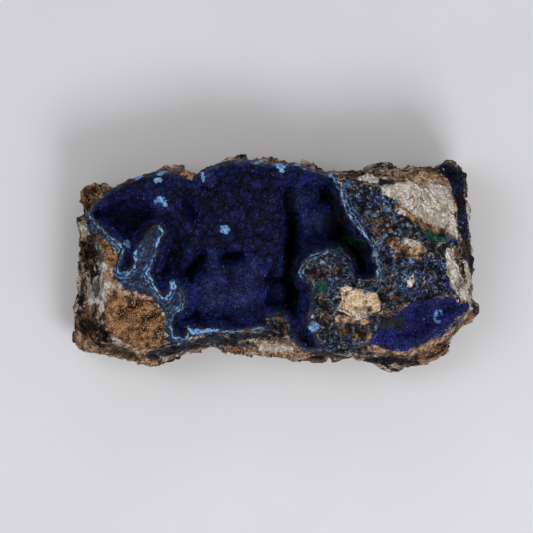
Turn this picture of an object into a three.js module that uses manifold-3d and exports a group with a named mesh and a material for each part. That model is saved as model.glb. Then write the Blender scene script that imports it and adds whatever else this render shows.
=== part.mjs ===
// Azurite specimen: a block of iron-stained, calcite-veined host rock whose open vug is lined with
// botryoidal azurite. A shallow pocket at one corner and a seam along one end hold azurite too.
// Millimetres, +Z up. The block lies on its flat underside, centred on the origin, with its length along X.
import * as THREE from "three";
import { mergeVertices } from "three/addons/utils/BufferGeometryUtils.js";
import Module from "manifold-3d";

const wasm = await Module();
wasm.setup();

// Driving dimensions.
const ROCK_LEVEL = 28.5; // height of the broken top face before its slopes and rises
const HALF_LENGTH = 48;
const HALF_WIDTH = 25.2;
const CELL = 2.2; // spacing of the facets on the top faces
const LINING_CELL = 1.8; // the same on the lining, whose balls need finer ones
const GAP = 0.3; // clearance between the rock and each azurite growth
const SHEET_MARGIN = 4; // how far the sheets that the top faces are cut from reach past the rock
const ABOVE = 45; // a height clear over the whole specimen
const RIM_WALL = 2.4; // how far inside its edge the hollow takes to reach its depth
const RIM_DROP = 2.2; // least depth of the hollow behind its rim
const LINING_THICKNESS = 3;
const POCKET_THICKNESS = 2;
const SEAM_THICKNESS = 2.5;
const SEAM_PROUD = 0.5; // how far the seam's crystals stand above the rock
const POCKET_DEPTH = 4.5; // the pocket is a dish that sinks towards its middle
const POCKET_WALL = 5; // how far inside its edge the pocket takes to reach its depth
const BLEND = 4; // sharpness with which neighbouring landforms merge

// Plan outline of the rock, clockwise from the upper left corner.
const ROCK_OUTLINE = [
  [-46.4, 17.4], [-44.5, 18.2], [-39, 17.8], [-36, 18], [-33.5, 19.6], [-29, 21], [-27, 22], [-23.5, 22.4],
  [-20.5, 22.2], [-18, 21.4], [-15.5, 22.2], [-13, 23.6], [-10.5, 24.5], [-5, 24.6], [-1, 25.2], [1.5, 24.5],
  [4, 23.6], [6.5, 24], [8.5, 23.5], [12, 21.6], [17.5, 21.4], [21, 22], [23, 22.9], [27.5, 23], [29.5, 22],
  [33, 22.7], [37.5, 22.7], [39.5, 23.5], [41.5, 23.8], [43.5, 22.3], [44.8, 19.5], [45, 16], [46.2, 12.5],
  [46.2, 6], [47.2, 3], [47.2, -1], [46.4, -3.5], [46.6, -8.5], [48, -10.8], [48, -12.8], [46.5, -14.5],
  [44, -15.5], [43, -17.5], [41.5, -19], [40.3, -21.3], [37.5, -22.6], [35, -24], [32.5, -25.2], [27.5, -25.2],
  [24, -24], [21, -22.8], [18.5, -22.5], [14.5, -23.8], [6.5, -23.4], [2, -23], [-2, -21.3], [-6, -21.5],
  [-9, -22.2], [-11.5, -22], [-13, -20.5], [-15, -20.1], [-18.5, -21.5], [-27, -24], [-29.5, -24.7],
  [-32.5, -23.8], [-41.5, -21.8], [-45.8, -20.9], [-47.6, -18], [-48, -14], [-47.6, -8], [-46.6, -1],
  [-45.9, 4], [-45.6, 11], [-46.2, 15],
];

// Height in mm and inset in mm of the rock's flank, from its underside up.
const FLANK = [[0, 4.2], [1.2, 2.9], [4, 1.5], [8, 0.5], [12, 0], [16, 0], [21, 0.3], [27, 0.8], [34, 1.2]];

// Edge of the azurite lining, clockwise from its left tip.
const LINING_OUTLINE = [
  [-44.3, 11.5], [-43, 13], [-41.5, 14.8], [-39, 16.3], [-36.3, 17.6], [-34.4, 18.8], [-31.3, 20], [-27.4, 20.9],
  [-25, 20.9], [-21.5, 20], [-19.3, 19.6], [-17.2, 21], [-15, 22.1], [-12, 22.9], [-9.8, 23.5], [-6, 23.4],
  [-2.7, 22.9], [0.5, 22.8], [2.3, 22.6], [4.7, 22.8], [7, 22], [9, 21.2], [11.7, 20.4], [14, 20.1], [14.8, 17.8],
  [16.2, 16], [16.3, 14], [17.4, 11.2], [19.5, 8.3], [22.2, 5.3], [24, 2.8], [23, 1], [24.7, -1.2], [24.2, -4.4],
  [21.5, -5], [18.4, -4.5], [17.3, -2], [17, 0.4], [15.2, 1.9], [12.1, 2], [8.8, 1.1], [6.8, -0.8], [5.8, -2.8],
  [7, -4.1], [9.2, -5.4], [9.2, -9], [8.6, -12.4], [8.3, -14.8], [9.8, -16.8], [10.8, -20.9], [7.8, -21.6],
  [5.1, -19.9], [3.4, -17.4], [3, -15], [2.4, -13.3], [0, -12.9], [-1.8, -13.5], [-2.2, -15.4], [-5.1, -16.2],
  [-9, -16.6], [-13, -17.2], [-16.8, -17.6], [-20, -17.8], [-21, -18.8], [-23.4, -19.3], [-25, -18.9],
  [-25.7, -16], [-25.5, -12.7], [-27.4, -10.7], [-29.3, -8.4], [-32.4, -7.2], [-35.2, -6.4], [-37.9, -3.9],
  [-37.6, -1.3], [-36.9, 1], [-38.7, 4], [-41, 6.5], [-43, 9],
];

// Edge of the open hollow. Between it and the lining's own edge the lining is broken off level with the rock.
const HOLLOW_OUTLINE = [
  [-43.4, 11.2], [-42.6, 12.7], [-41, 14.4], [-38.8, 15.9], [-36.2, 17.2], [-34.3, 18.4], [-31.2, 19.5],
  [-27.5, 20.3], [-25, 20.4], [-21.5, 19.5], [-19.2, 19.1], [-17, 20.5], [-14.8, 21.6], [-12, 22.4],
  [-9.8, 22.9], [-6, 22.8], [-2.7, 22.3], [0.5, 22.2], [2.5, 21.9], [4.6, 22.2], [6.7, 21.4], [8.7, 20.6],
  [11.6, 19.9], [13.3, 19.4], [14.1, 17.6], [15.4, 15.7], [15.5, 13.8], [16.7, 11], [18.7, 8.1], [21.4, 5.1],
  [23, 2.7], [22.2, 1], [23.9, -1.3], [23.4, -3.8], [21.5, -4.4], [18.9, -4], [18.1, -2], [17.7, 0.7],
  [15.6, 2.5], [12.1, 2.6], [8.4, 1.8], [6.2, -0.4], [5.1, -2.9], [6.3, -4.6], [8.5, -5.8], [8.5, -9],
  [7.9, -12.3], [7.5, -15.1], [9, -17.2], [10, -20.3], [7.9, -21], [5.5, -19.5], [3.9, -17.2], [3.5, -14.8],
  [2.8, -12.7], [0, -12.3], [-1.4, -12.9], [-1.8, -14.8], [-5.1, -15.6], [-10.9, -16.1], [-14.9, -15.8],
  [-18.4, -15.8], [-20.5, -16], [-21.1, -17.9], [-23.3, -17.6], [-24.1, -15], [-23.6, -13], [-21.5, -11.5],
  [-20.7, -9.9], [-21.1, -7.2], [-23.1, -5.2], [-24.6, -5.2], [-25, -7.2], [-25.8, -8.6], [-27.4, -6.4],
  [-28.5, -4.1], [-29.6, -2.9], [-28.5, -0.9], [-27.6, 1.8], [-27, 4.5], [-25.6, 6.9], [-27.4, 8.8],
  [-28.9, 8.1], [-30.9, 5.3], [-32.4, 3], [-33.2, 1.8], [-33, -0.5], [-34.4, -2.3], [-36, -2.5],
  [-36.4, -1.3], [-35.7, 0.8], [-35, 3], [-36.3, 4.7], [-38.3, 5.7], [-39.9, 7.3], [-42, 9.2],
];

// Edge of the azurite in the shallow corner pocket.
const POCKET_OUTLINE = [
  [22.4, -18.7], [24, -16], [27, -13.5], [30.5, -11], [33, -9.6], [36, -9.4], [39, -8.5], [42.3, -8.2],
  [44.6, -9.2], [45.9, -11], [43.5, -12.7], [41.5, -14.3], [39, -16.4], [36, -18.3], [33, -19.9], [30.5, -20.9],
  [27.5, -20.9], [24.5, -20],
];

// Edge of the azurite seam that crosses the right-hand end.
const SEAM_OUTLINE = [
  [38.7, 21.9], [40.6, 22.7], [42.4, 21.4], [43.6, 18.9], [44, 15], [44.6, 11], [45.1, 6.6], [44.6, 4.9],
  [43.5, 6.5], [42.9, 11], [42.5, 15], [41.7, 17.6], [40, 20],
];

// Ground that falls away from the rock's level: a line on plan, how far the slope reaches and how deep it is.
const SLOPES = [
  { from: [-49, 14], to: [-49, -20], reach: 10, depth: 17 }, // left end
  { from: [-47, -25], to: [-29, -27], reach: 7.5, depth: 17 }, // lower left ledge
  { from: [-18, -24.2], to: [2, -24], reach: 6.6, depth: 15 }, // ledge below the vug
  { from: [0.5, -21], to: [0.5, -14.5], reach: 4, depth: 6 }, // breach in the vug's wall
  { from: [3, -26], to: [20, -26.5], reach: 6.5, depth: 15 }, // ledge below the island
  { from: [22, -27.5], to: [36, -27.5], reach: 9.5, depth: 14 }, // below the pocket
  { from: [36, -27.5], to: [50, -16], reach: 8.5, depth: 13 }, // lower right corner
  { from: [50.5, 16], to: [50.5, -13], reach: 8, depth: 15 }, // right end
  { from: [22, 27.5], to: [44, 27.5], reach: 6.5, depth: 9 }, // upper right edge
  { from: [-8, 28.5], to: [10, 27.5], reach: 6, depth: 10 }, // upper middle edge
  { from: [-48, 21], to: [-24, 26], reach: 6.5, depth: 12 }, // upper left edge
];

// Ground that stands above the rock's level.
const RISES = [
  { from: [31, 14.5], to: [38, 13], reach: 13, depth: 2.6 }, // calcite vein
  { from: [18, -8.5], to: [22, -9.5], reach: 7, depth: 1.5 }, // island's plateau
];

// The hollow's floor, as depths below its rim.
const BASINS = [
  { from: [-39, 12], to: [-31, 8.5], reach: 8, depth: 11 }, // left arm
  { from: [-34.3, 4], to: [-35, -0.5], reach: 3, depth: 6 }, // foot of the left arm
  { from: [-24, 8], to: [-26, -3], reach: 6, depth: 5 }, // beside the septum
  { from: [-20.6, 13.4], to: [-19, 10.8], reach: 3.4, depth: 9 }, // west crevice
  { from: [-20, -3], to: [-17.4, 0.7], reach: 3.6, depth: 12 }, // crevice behind the largest ball
  { from: [-12, 1], to: [-8.4, 1.2], reach: 3.2, depth: 11 }, // crevice between the balls
  { from: [-21.5, -10], to: [-19, -14], reach: 4, depth: 5 }, // moat of the largest ball
  { from: [-17, -13.5], to: [-2, -12], reach: 8, depth: 4.5 }, // lower floor
  { from: [0.2, -5], to: [0, -11], reach: 4.5, depth: 12 }, // shelf beside the gorge
  { from: [3.2, 16], to: [4.4, 8], reach: 4, depth: 15 }, // gorge, upper half
  { from: [4.4, 8], to: [3, -11], reach: 4.6, depth: 16 }, // gorge, lower half
  { from: [11, 16], to: [13, 8], reach: 8.5, depth: 14 }, // east basin
  { from: [15, 6], to: [20.5, 1.5], reach: 6.5, depth: 20 }, // deep hole
  { from: [20.5, 1.5], to: [21, -2.5], reach: 4.5, depth: 20 }, // foot of the deep hole
  { from: [-14, 14], to: [-4, 4], reach: 17, depth: 3 }, // middle floor
];

// Ball-shaped growths on the lining: centre and radius.
const BALLS = [
  { at: [-14.7, -8, 18.6], radius: 5.8 },
  { at: [-7, -9, 14.8], radius: 6.4 },
  { at: [-5.5, -2.2, 19.4], radius: 4 },
  { at: [-14.1, 0.6, 17.2], radius: 2.6 },
  { at: [0.4, -7.6, 14.5], radius: 2.6 },
  { at: [5.9, 15.5, 15.6], radius: 4.2 },
  { at: [9.8, 9.2, 13.2], radius: 5.2 },
  { at: [-27.2, 13, 18.8], radius: 2.6 },
  { at: [-15.7, 19.4, 23.2], radius: 2.2 },
];

const clamp01 = (t) => Math.min(1, Math.max(0, t));
const smoothstep = (t) => clamp01(t) ** 2 * (3 - 2 * clamp01(t));

// Distance from a point to the line from a to b, on plan.
function distanceToLine([ax, ay], [bx, by], x, y) {
  const [dx, dy] = [bx - ax, by - ay];
  const along = clamp01(((x - ax) * dx + (y - ay) * dy) / (dx * dx + dy * dy));
  return Math.hypot(x - ax - along * dx, y - ay - along * dy);
}

// Distance from a point to an outline on plan, negative inside it.
function distanceToOutline(outline, x, y) {
  let nearest = Infinity;
  let inside = false;
  outline.forEach(([ax, ay], i) => {
    const [bx, by] = outline[(i + 1) % outline.length];
    nearest = Math.min(nearest, distanceToLine([ax, ay], [bx, by], x, y));
    if (ay > y !== by > y && x < ax + ((bx - ax) * (y - ay)) / (by - ay)) inside = !inside;
  });
  return inside ? -nearest : nearest;
}

// Landforms of one kind merged into one depth.
function landform(forms, x, y) {
  const total = forms.reduce((sum, { from, to, reach, depth }) => {
    const t = clamp01(distanceToLine(from, to, x, y) / reach);
    return sum + (depth * (1 - t * t) ** 2) ** BLEND;
  }, 0);
  return total ** (1 / BLEND);
}

// Height of the rock's broken top face, as if nothing were hollowed out of it.
const rockTop = (x, y) => ROCK_LEVEL - landform(SLOPES, x, y) + landform(RISES, x, y);

// Height of the lining's floor, without its balls.
function liningFloor(x, y) {
  const inwards = smoothstep(-distanceToOutline(HOLLOW_OUTLINE, x, y) / RIM_WALL);
  return rockTop(x, y) - inwards * (RIM_DROP + landform(BASINS, x, y));
}

// Height of the lining's face: its floor, or the ball that stands highest there.
function liningFace(x, y) {
  return BALLS.reduce((height, { at: [bx, by, bz], radius }) => {
    const off = Math.hypot(x - bx, y - by);
    return off < radius ? Math.max(height, bz + Math.sqrt(radius * radius - off * off)) : height;
  }, liningFloor(x, y));
}

function pocketFloor(x, y) {
  return rockTop(x, y) - POCKET_DEPTH * smoothstep(-distanceToOutline(POCKET_OUTLINE, x, y) / POCKET_WALL);
}

const seamCrest = (x, y) => rockTop(x, y) + SEAM_PROUD;

// A closed three.js geometry as a solid.
function solidOf(geometry) {
  const bare = geometry.clone().deleteAttribute("normal").deleteAttribute("uv");
  const merged = mergeVertices(bare, 1e-4);
  return new wasm.Manifold(
    new wasm.Mesh({
      numProp: 3,
      vertProperties: new Float32Array(merged.attributes.position.array),
      triVerts: new Uint32Array(merged.index.array),
    }),
  );
}

// A solid as a three.js geometry.
function geometryOf(solid) {
  const { vertProperties, triVerts, numProp, numVert } = solid.getMesh();
  const positions = new Float32Array(numVert * 3);
  for (let i = 0; i < numVert; i++) positions.set(vertProperties.subarray(i * numProp, i * numProp + 3), i * 3);
  const geometry = new THREE.BufferGeometry();
  geometry.setAttribute("position", new THREE.BufferAttribute(positions, 3));
  geometry.setIndex(new THREE.BufferAttribute(new Uint32Array(triVerts), 1));
  const faceted = geometry.toNonIndexed();
  faceted.computeVertexNormals();
  return faceted;
}

// A sheet that fills the space between two height functions: a box whose lid and floor are moved to them.
function sheet(bottom, top, cell = CELL) {
  const [length, width] = [2 * (HALF_LENGTH + SHEET_MARGIN), 2 * (HALF_WIDTH + SHEET_MARGIN)];
  const box = new THREE.BoxGeometry(length, width, 2, Math.round(length / cell), Math.round(width / cell), 1);
  const places = box.getAttribute("position");
  for (let i = 0; i < places.count; i++) {
    const [x, y] = [places.getX(i), places.getY(i)];
    places.setZ(i, places.getZ(i) > 0 ? top(x, y) : bottom(x, y));
  }
  return solidOf(box);
}

// An upright prism over an outline, grown sideways by `growth`, from z = 0 to `ABOVE`.
function prism(outline, growth = 0) {
  const shape = new THREE.Shape(offsetOutline(outline, growth));
  return solidOf(new THREE.ExtrudeGeometry(shape, { depth: ABOVE, bevelEnabled: false }));
}

// The outline with each point moved outwards along the mean normal of its two edges.
function offsetOutline(outline, growth) {
  return outline.map(([x, y], i) => {
    const before = new THREE.Vector2(...outline.at(i - 1));
    const after = new THREE.Vector2(...outline[(i + 1) % outline.length]);
    const here = new THREE.Vector2(x, y);
    const along = here.clone().sub(before).normalize().add(after.sub(here).normalize()).normalize();
    return new THREE.Vector2(x - along.y * growth, y + along.x * growth);
  });
}

// How far the flank is drawn in at a height: the stated inset, with swells that wander round the block.
function flankInset(x, y, z, inset) {
  const turn = Math.atan2(y / HALF_WIDTH, x / HALF_LENGTH);
  const ripple = 1 + 0.4 * Math.sin(7 * turn + 0.25 * z);
  const swell = 0.5 * (1 - Math.cos((z - 14) / 3.5)) * (1 + Math.sin(5 * turn - 0.4 * z));
  return inset * ripple + 0.6 * swell;
}

// The rock's flank: its outline drawn in at each height, and closed top and bottom.
function flank() {
  const outline = [...ROCK_OUTLINE].reverse();
  const count = outline.length;
  const positions = FLANK.flatMap(([z, inset]) =>
    outline.flatMap(([x, y]) => {
      const drawnIn = flankInset(x, y, z, inset);
      return [x * (1 - drawnIn / HALF_LENGTH), y * (1 - drawnIn / HALF_WIDTH), z];
    }),
  );
  const cap = THREE.ShapeUtils.triangulateShape(outline.map(([x, y]) => new THREE.Vector2(x, y)), []);
  const topRing = (FLANK.length - 1) * count;
  const faces = cap.flatMap(([a, b, c]) => [[a, c, b], [topRing + a, topRing + b, topRing + c]]);
  for (let ring = 0; ring < FLANK.length - 1; ring++)
    for (let i = 0; i < count; i++) {
      const [a, b] = [ring * count + i, ring * count + ((i + 1) % count)];
      faces.push([a, b, a + count], [b, b + count, a + count]);
    }
  const geometry = new THREE.BufferGeometry();
  geometry.setAttribute("position", new THREE.Float32BufferAttribute(positions, 3));
  geometry.setIndex(faces.flat());
  return solidOf(geometry);
}

// One azurite growth, and the recess that the rock leaves for it, wider by the gap.
function growth(outline, thickness, floor, face = floor, cell = CELL) {
  const bottom = (x, y) => floor(x, y) - thickness;
  return {
    solid: sheet(bottom, face, cell).intersect(prism(outline)),
    recess: sheet((x, y) => bottom(x, y) - GAP, () => ABOVE, cell).intersect(prism(outline, GAP)),
  };
}

const lining = growth(LINING_OUTLINE, LINING_THICKNESS, liningFloor, liningFace, LINING_CELL);
const pocket = growth(POCKET_OUTLINE, POCKET_THICKNESS, pocketFloor);
const seam = growth(SEAM_OUTLINE, SEAM_THICKNESS, seamCrest);
const block = flank().intersect(sheet(() => -1, rockTop));
const rock = block.subtract(lining.recess).subtract(pocket.recess).subtract(seam.recess);

const HOST_ROCK = { color: 0x9a7350, roughness: 0.9, metalness: 0 };
const AZURITE = { color: 0x14184a, roughness: 0.55, metalness: 0 };
const BRIGHT_AZURITE = { color: 0x1c1f8c, roughness: 0.5, metalness: 0 };

const specimen = new THREE.Group();
specimen.name = "azurite_specimen";

function place(name, solid, finish) {
  const mesh = new THREE.Mesh(geometryOf(solid), new THREE.MeshStandardMaterial(finish));
  mesh.name = name;
  specimen.add(mesh);
}

place("host_rock", rock, HOST_ROCK);
place("azurite_vug_lining", lining.solid, AZURITE);
place("azurite_pocket_crust", pocket.solid, BRIGHT_AZURITE);
place("azurite_end_seam", seam.solid, AZURITE);

export default specimen;
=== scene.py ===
"""Azurite specimen: the looks of a block of iron-stained rock whose open vug is lined with azurite.

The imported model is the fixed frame. Surfaces are worked out in millimetres on a block of nominal length and
then scaled to the frame's own length, so every piece lands where its solid stands.
"""
import logging
from collections.abc import Callable
from dataclasses import dataclass
from enum import Enum

import bpy
import numpy as np
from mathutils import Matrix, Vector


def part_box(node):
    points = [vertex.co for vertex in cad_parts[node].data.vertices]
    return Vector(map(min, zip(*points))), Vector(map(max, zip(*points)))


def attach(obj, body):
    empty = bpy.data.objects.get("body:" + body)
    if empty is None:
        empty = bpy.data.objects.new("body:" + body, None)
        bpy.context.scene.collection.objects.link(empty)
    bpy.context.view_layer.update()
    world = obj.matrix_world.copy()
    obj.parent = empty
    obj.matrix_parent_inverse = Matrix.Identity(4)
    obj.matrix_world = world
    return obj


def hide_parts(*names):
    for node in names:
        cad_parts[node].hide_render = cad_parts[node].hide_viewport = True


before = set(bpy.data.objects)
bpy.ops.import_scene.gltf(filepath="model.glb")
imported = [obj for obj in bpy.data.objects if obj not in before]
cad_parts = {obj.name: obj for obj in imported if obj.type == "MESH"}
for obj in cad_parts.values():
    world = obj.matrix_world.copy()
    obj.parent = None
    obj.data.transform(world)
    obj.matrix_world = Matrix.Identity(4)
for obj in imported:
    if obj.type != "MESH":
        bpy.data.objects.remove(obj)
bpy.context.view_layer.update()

LOG = logging.getLogger("azurite_specimen")
BODY = "root"
Array = np.ndarray
Point = tuple[float, float]
Colour = tuple[float, float, float, float]

# Driving dimensions, in millimetres on the nominal block.
NOMINAL_LENGTH = 96.0
HALF_LENGTH = 48.0
HALF_WIDTH = 25.2
ROCK_LEVEL = 28.5
LEDGE_LEVEL = 13.0
RIM_WALL = 2.4
RIM_DROP = 2.2
POCKET_DEPTH = 4.5
POCKET_WALL = 5.0
SEAM_PROUD = 0.5
BLEND = 4
LEDGE_ROUNDING = 2.0
FACET_SIZE = 7.0
FACET_HEIGHT = 0.35
HEAVE_SIZE = 9.0
HEAVE_HEIGHT = 0.5
UNIT = (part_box("host_rock")[1].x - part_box("host_rock")[0].x) / NOMINAL_LENGTH

ROCK_OUTLINE: list[Point] = [
    (-46.4, 17.4), (-44.5, 18.2), (-39, 17.8), (-36, 18), (-33.5, 19.6), (-29, 21), (-27, 22),
    (-23.5, 22.4), (-20.5, 22.2), (-18, 21.4), (-15.5, 22.2), (-13, 23.6), (-10.5, 24.5), (-5, 24.6),
    (-1, 25.2), (1.5, 24.5), (4, 23.6), (6.5, 24), (8.5, 23.5), (12, 21.6), (17.5, 21.4), (21, 22),
    (23, 22.9), (27.5, 23), (29.5, 22), (33, 22.7), (37.5, 22.7), (39.5, 23.5), (41.5, 23.8), (43.5, 22.3),
    (44.8, 19.5), (45, 16), (46.2, 12.5), (46.2, 6), (47.2, 3), (47.2, -1), (46.4, -3.5), (46.6, -8.5),
    (48, -10.8), (48, -12.8), (46.5, -14.5), (44, -15.5), (43, -17.5), (41.5, -19), (40.3, -21.3),
    (37.5, -22.6), (35, -24), (32.5, -25.2), (27.5, -25.2), (24, -24), (21, -22.8), (18.5, -22.5),
    (14.5, -23.8), (6.5, -23.4), (2, -23), (-2, -21.3), (-6, -21.5), (-9, -22.2), (-11.5, -22),
    (-13, -20.5), (-15, -20.1), (-18.5, -21.5), (-27, -24), (-29.5, -24.7), (-32.5, -23.8), (-41.5, -21.8),
    (-45.8, -20.9), (-47.6, -18), (-48, -14), (-47.6, -8), (-46.6, -1), (-45.9, 4), (-45.6, 11),
    (-46.2, 15),
]
LINING_OUTLINE: list[Point] = [
    (-44.3, 11.5), (-43, 13), (-41.5, 14.8), (-39, 16.3), (-36.3, 17.6), (-34.4, 18.8), (-31.3, 20),
    (-27.4, 20.9), (-25, 20.9), (-21.5, 20), (-19.3, 19.6), (-17.2, 21), (-15, 22.1), (-12, 22.9),
    (-9.8, 23.5), (-6, 23.4), (-2.7, 22.9), (0.5, 22.8), (2.3, 22.6), (4.7, 22.8), (7, 22), (9, 21.2),
    (11.7, 20.4), (14, 20.1), (14.8, 17.8), (16.2, 16), (16.3, 14), (17.4, 11.2), (19.5, 8.3), (22.2, 5.3),
    (24, 2.8), (23, 1), (24.7, -1.2), (24.2, -4.4), (21.5, -5), (18.4, -4.5), (17.3, -2), (17, 0.4),
    (15.2, 1.9), (12.1, 2), (8.8, 1.1), (6.8, -0.8), (5.8, -2.8), (7, -4.1), (9.2, -5.4), (9.2, -9),
    (8.6, -12.4), (8.3, -14.8), (9.8, -16.8), (10.8, -20.9), (7.8, -21.6), (5.1, -19.9), (3.4, -17.4),
    (3, -15), (2.4, -13.3), (0, -12.9), (-1.8, -13.5), (-2.2, -15.4), (-5.1, -16.2), (-9, -16.6),
    (-13, -17.2), (-16.8, -17.6), (-20, -17.8), (-21, -18.8), (-23.4, -19.3), (-25, -18.9), (-25.7, -16),
    (-25.5, -12.7), (-27.4, -10.7), (-29.3, -8.4), (-32.4, -7.2), (-35.2, -6.4), (-37.9, -3.9),
    (-37.6, -1.3), (-36.9, 1), (-38.7, 4), (-41, 6.5), (-43, 9),
]
HOLLOW_OUTLINE: list[Point] = [
    (-43.4, 11.2), (-42.6, 12.7), (-41, 14.4), (-38.8, 15.9), (-36.2, 17.2), (-34.3, 18.4), (-31.2, 19.5),
    (-27.5, 20.3), (-25, 20.4), (-21.5, 19.5), (-19.2, 19.1), (-17, 20.5), (-14.8, 21.6), (-12, 22.4),
    (-9.8, 22.9), (-6, 22.8), (-2.7, 22.3), (0.5, 22.2), (2.5, 21.9), (4.6, 22.2), (6.7, 21.4), (8.7, 20.6),
    (11.6, 19.9), (13.3, 19.4), (14.1, 17.6), (15.4, 15.7), (15.5, 13.8), (16.7, 11), (18.7, 8.1),
    (21.4, 5.1), (23, 2.7), (22.2, 1), (23.9, -1.3), (23.4, -3.8), (21.5, -4.4), (18.9, -4), (18.1, -2),
    (17.7, 0.7), (15.6, 2.5), (12.1, 2.6), (8.4, 1.8), (6.2, -0.4), (5.1, -2.9), (6.3, -4.6), (8.5, -5.8),
    (8.5, -9), (7.9, -12.3), (7.5, -15.1), (9, -17.2), (10, -20.3), (7.9, -21), (5.5, -19.5), (3.9, -17.2),
    (3.5, -14.8), (2.8, -12.7), (0, -12.3), (-1.4, -12.9), (-1.8, -14.8), (-5.1, -15.6), (-10.9, -16.1),
    (-14.9, -15.8), (-18.4, -15.8), (-20.5, -16), (-21.1, -17.9), (-23.3, -17.6), (-24.1, -15), (-23.6, -13),
    (-21.5, -11.5), (-20.7, -9.9), (-21.1, -7.2), (-23.1, -5.2), (-24.6, -5.2), (-25, -7.2), (-25.8, -8.6),
    (-27.4, -6.4), (-28.5, -4.1), (-29.6, -2.9), (-28.5, -0.9), (-27.6, 1.8), (-27, 4.5), (-25.6, 6.9),
    (-27.4, 8.8), (-28.9, 8.1), (-30.9, 5.3), (-32.4, 3), (-33.2, 1.8), (-33, -0.5), (-34.4, -2.3),
    (-36, -2.5), (-36.4, -1.3), (-35.7, 0.8), (-35, 3), (-36.3, 4.7), (-38.3, 5.7), (-39.9, 7.3), (-42, 9.2),
]
POCKET_OUTLINE: list[Point] = [
    (22.4, -18.7), (24, -16), (27, -13.5), (30.5, -11), (33, -9.6), (36, -9.4), (39, -8.5), (42.3, -8.2),
    (44.6, -9.2), (45.9, -11), (43.5, -12.7), (41.5, -14.3), (39, -16.4), (36, -18.3), (33, -19.9),
    (30.5, -20.9), (27.5, -20.9), (24.5, -20),
]
SEAM_OUTLINE: list[Point] = [
    (38.7, 21.9), (40.6, 22.7), (42.4, 21.4), (43.6, 18.9), (44, 15), (44.6, 11), (45.1, 6.6), (44.6, 4.9),
    (43.5, 6.5), (42.9, 11), (42.5, 15), (41.7, 17.6), (40, 20),
]
# Height and inset of the flank, from the underside up.
FLANK: list[Point] = [
    (0, 4.2), (1.2, 2.9), (4, 1.5), (8, 0.5), (12, 0), (16, 0), (21, 0.3), (27, 0.8), (34, 1.2),
]


@dataclass(frozen=True)
class Stroke:
    """A line on plan with a reach to each side, in millimetres; a landform also has a height."""

    x0: float
    y0: float
    x1: float
    y1: float
    reach: float
    height: float = 0.0

    def distance(self, x: Array, y: Array) -> Array:
        """Distance on plan from each point to the line."""
        dx, dy = self.x1 - self.x0, self.y1 - self.y0
        length2 = max(dx * dx + dy * dy, 1e-9)
        along = np.clip(((x - self.x0) * dx + (y - self.y0) * dy) / length2, 0, 1)
        return np.hypot(x - self.x0 - along * dx, y - self.y0 - along * dy)

    def swell(self, x: Array, y: Array) -> Array:
        """Height of the landform over each point, falling smoothly to nothing at its reach."""
        t = np.clip(self.distance(x, y) / self.reach, 0, 1)
        return self.height * (1 - t * t) ** 2


@dataclass(frozen=True)
class Ball:
    """A ball-shaped growth: its centre and radius in millimetres."""

    x: float
    y: float
    z: float
    radius: float

    def crown(self, x: Array, y: Array) -> Array:
        """Height of the ball's upper half over each point, far below everything outside it."""
        inside = self.radius**2 - (x - self.x) ** 2 - (y - self.y) ** 2
        return np.where(inside > 0, self.z + np.sqrt(np.maximum(inside, 0)), -1e3)


SLOPES = [
    Stroke(-49, 14, -49, -20, 10, 17),  # left end
    Stroke(-47, -25, -29, -27, 7.5, 17),  # lower left ledge
    Stroke(-18, -24.2, 2, -24, 6.6, 15),  # ledge below the vug
    Stroke(0.5, -21, 0.5, -14.5, 4, 6),  # breach in the vug's wall
    Stroke(3, -26, 20, -26.5, 6.5, 15),  # ledge below the island
    Stroke(22, -27.5, 36, -27.5, 9.5, 14),  # below the pocket
    Stroke(36, -27.5, 50, -16, 8.5, 13),  # lower right corner
    Stroke(50.5, 16, 50.5, -13, 8, 15),  # right end
    Stroke(22, 27.5, 44, 27.5, 6.5, 9),  # upper right edge
    Stroke(-8, 28.5, 10, 27.5, 6, 10),  # upper middle edge
    Stroke(-48, 21, -24, 26, 6.5, 12),  # upper left edge
]
RISES = [
    Stroke(31, 14.5, 38, 13, 13, 2.6),  # calcite vein
    Stroke(18, -8.5, 22, -9.5, 7, 1.5),  # island's plateau
]
# Where the rock's foot reaches further out than its outline.
SPURS = [
    Stroke(-47, -20.8, -47, -19.6, 6, 1.0),
    Stroke(-40, -23.5, -29.5, -25.5, 5, 0.8),
    Stroke(22, -25, 27, -25.8, 5, 1.0),
    Stroke(37.5, -23, 40.5, -21.5, 5, 1.0),
    Stroke(42.5, 22.8, 45.2, 18, 4, 1.1),
]
BASINS = [
    Stroke(-39, 12, -31, 8.5, 8, 11),  # left arm
    Stroke(-34.3, 4, -35, -0.5, 3, 6),  # foot of the left arm
    Stroke(-24, 8, -26, -3, 6, 5),  # beside the septum
    Stroke(-20.6, 13.4, -19, 10.8, 3.4, 9),  # west crevice
    Stroke(-20, -3, -17.4, 0.7, 3.6, 12),  # crevice behind the largest ball
    Stroke(-12, 1, -8.4, 1.2, 3.2, 11),  # crevice between the balls
    Stroke(-21.5, -10, -19, -14, 4, 5),  # moat of the largest ball
    Stroke(-17, -13.5, -2, -12, 8, 4.5),  # lower floor
    Stroke(0.2, -5, 0, -11, 4.5, 12),  # shelf beside the gorge
    Stroke(3.2, 16, 4.4, 8, 4, 15),  # gorge, upper half
    Stroke(4.4, 8, 3, -11, 4.6, 16),  # gorge, lower half
    Stroke(11, 16, 13, 8, 8.5, 14),  # east basin
    Stroke(15, 6, 20.5, 1.5, 6.5, 19),  # deep hole
    Stroke(20.5, 1.5, 21, -2.5, 4.5, 15),  # foot of the deep hole
    Stroke(-14, 14, -4, 4, 17, 3),  # middle floor
]
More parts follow.
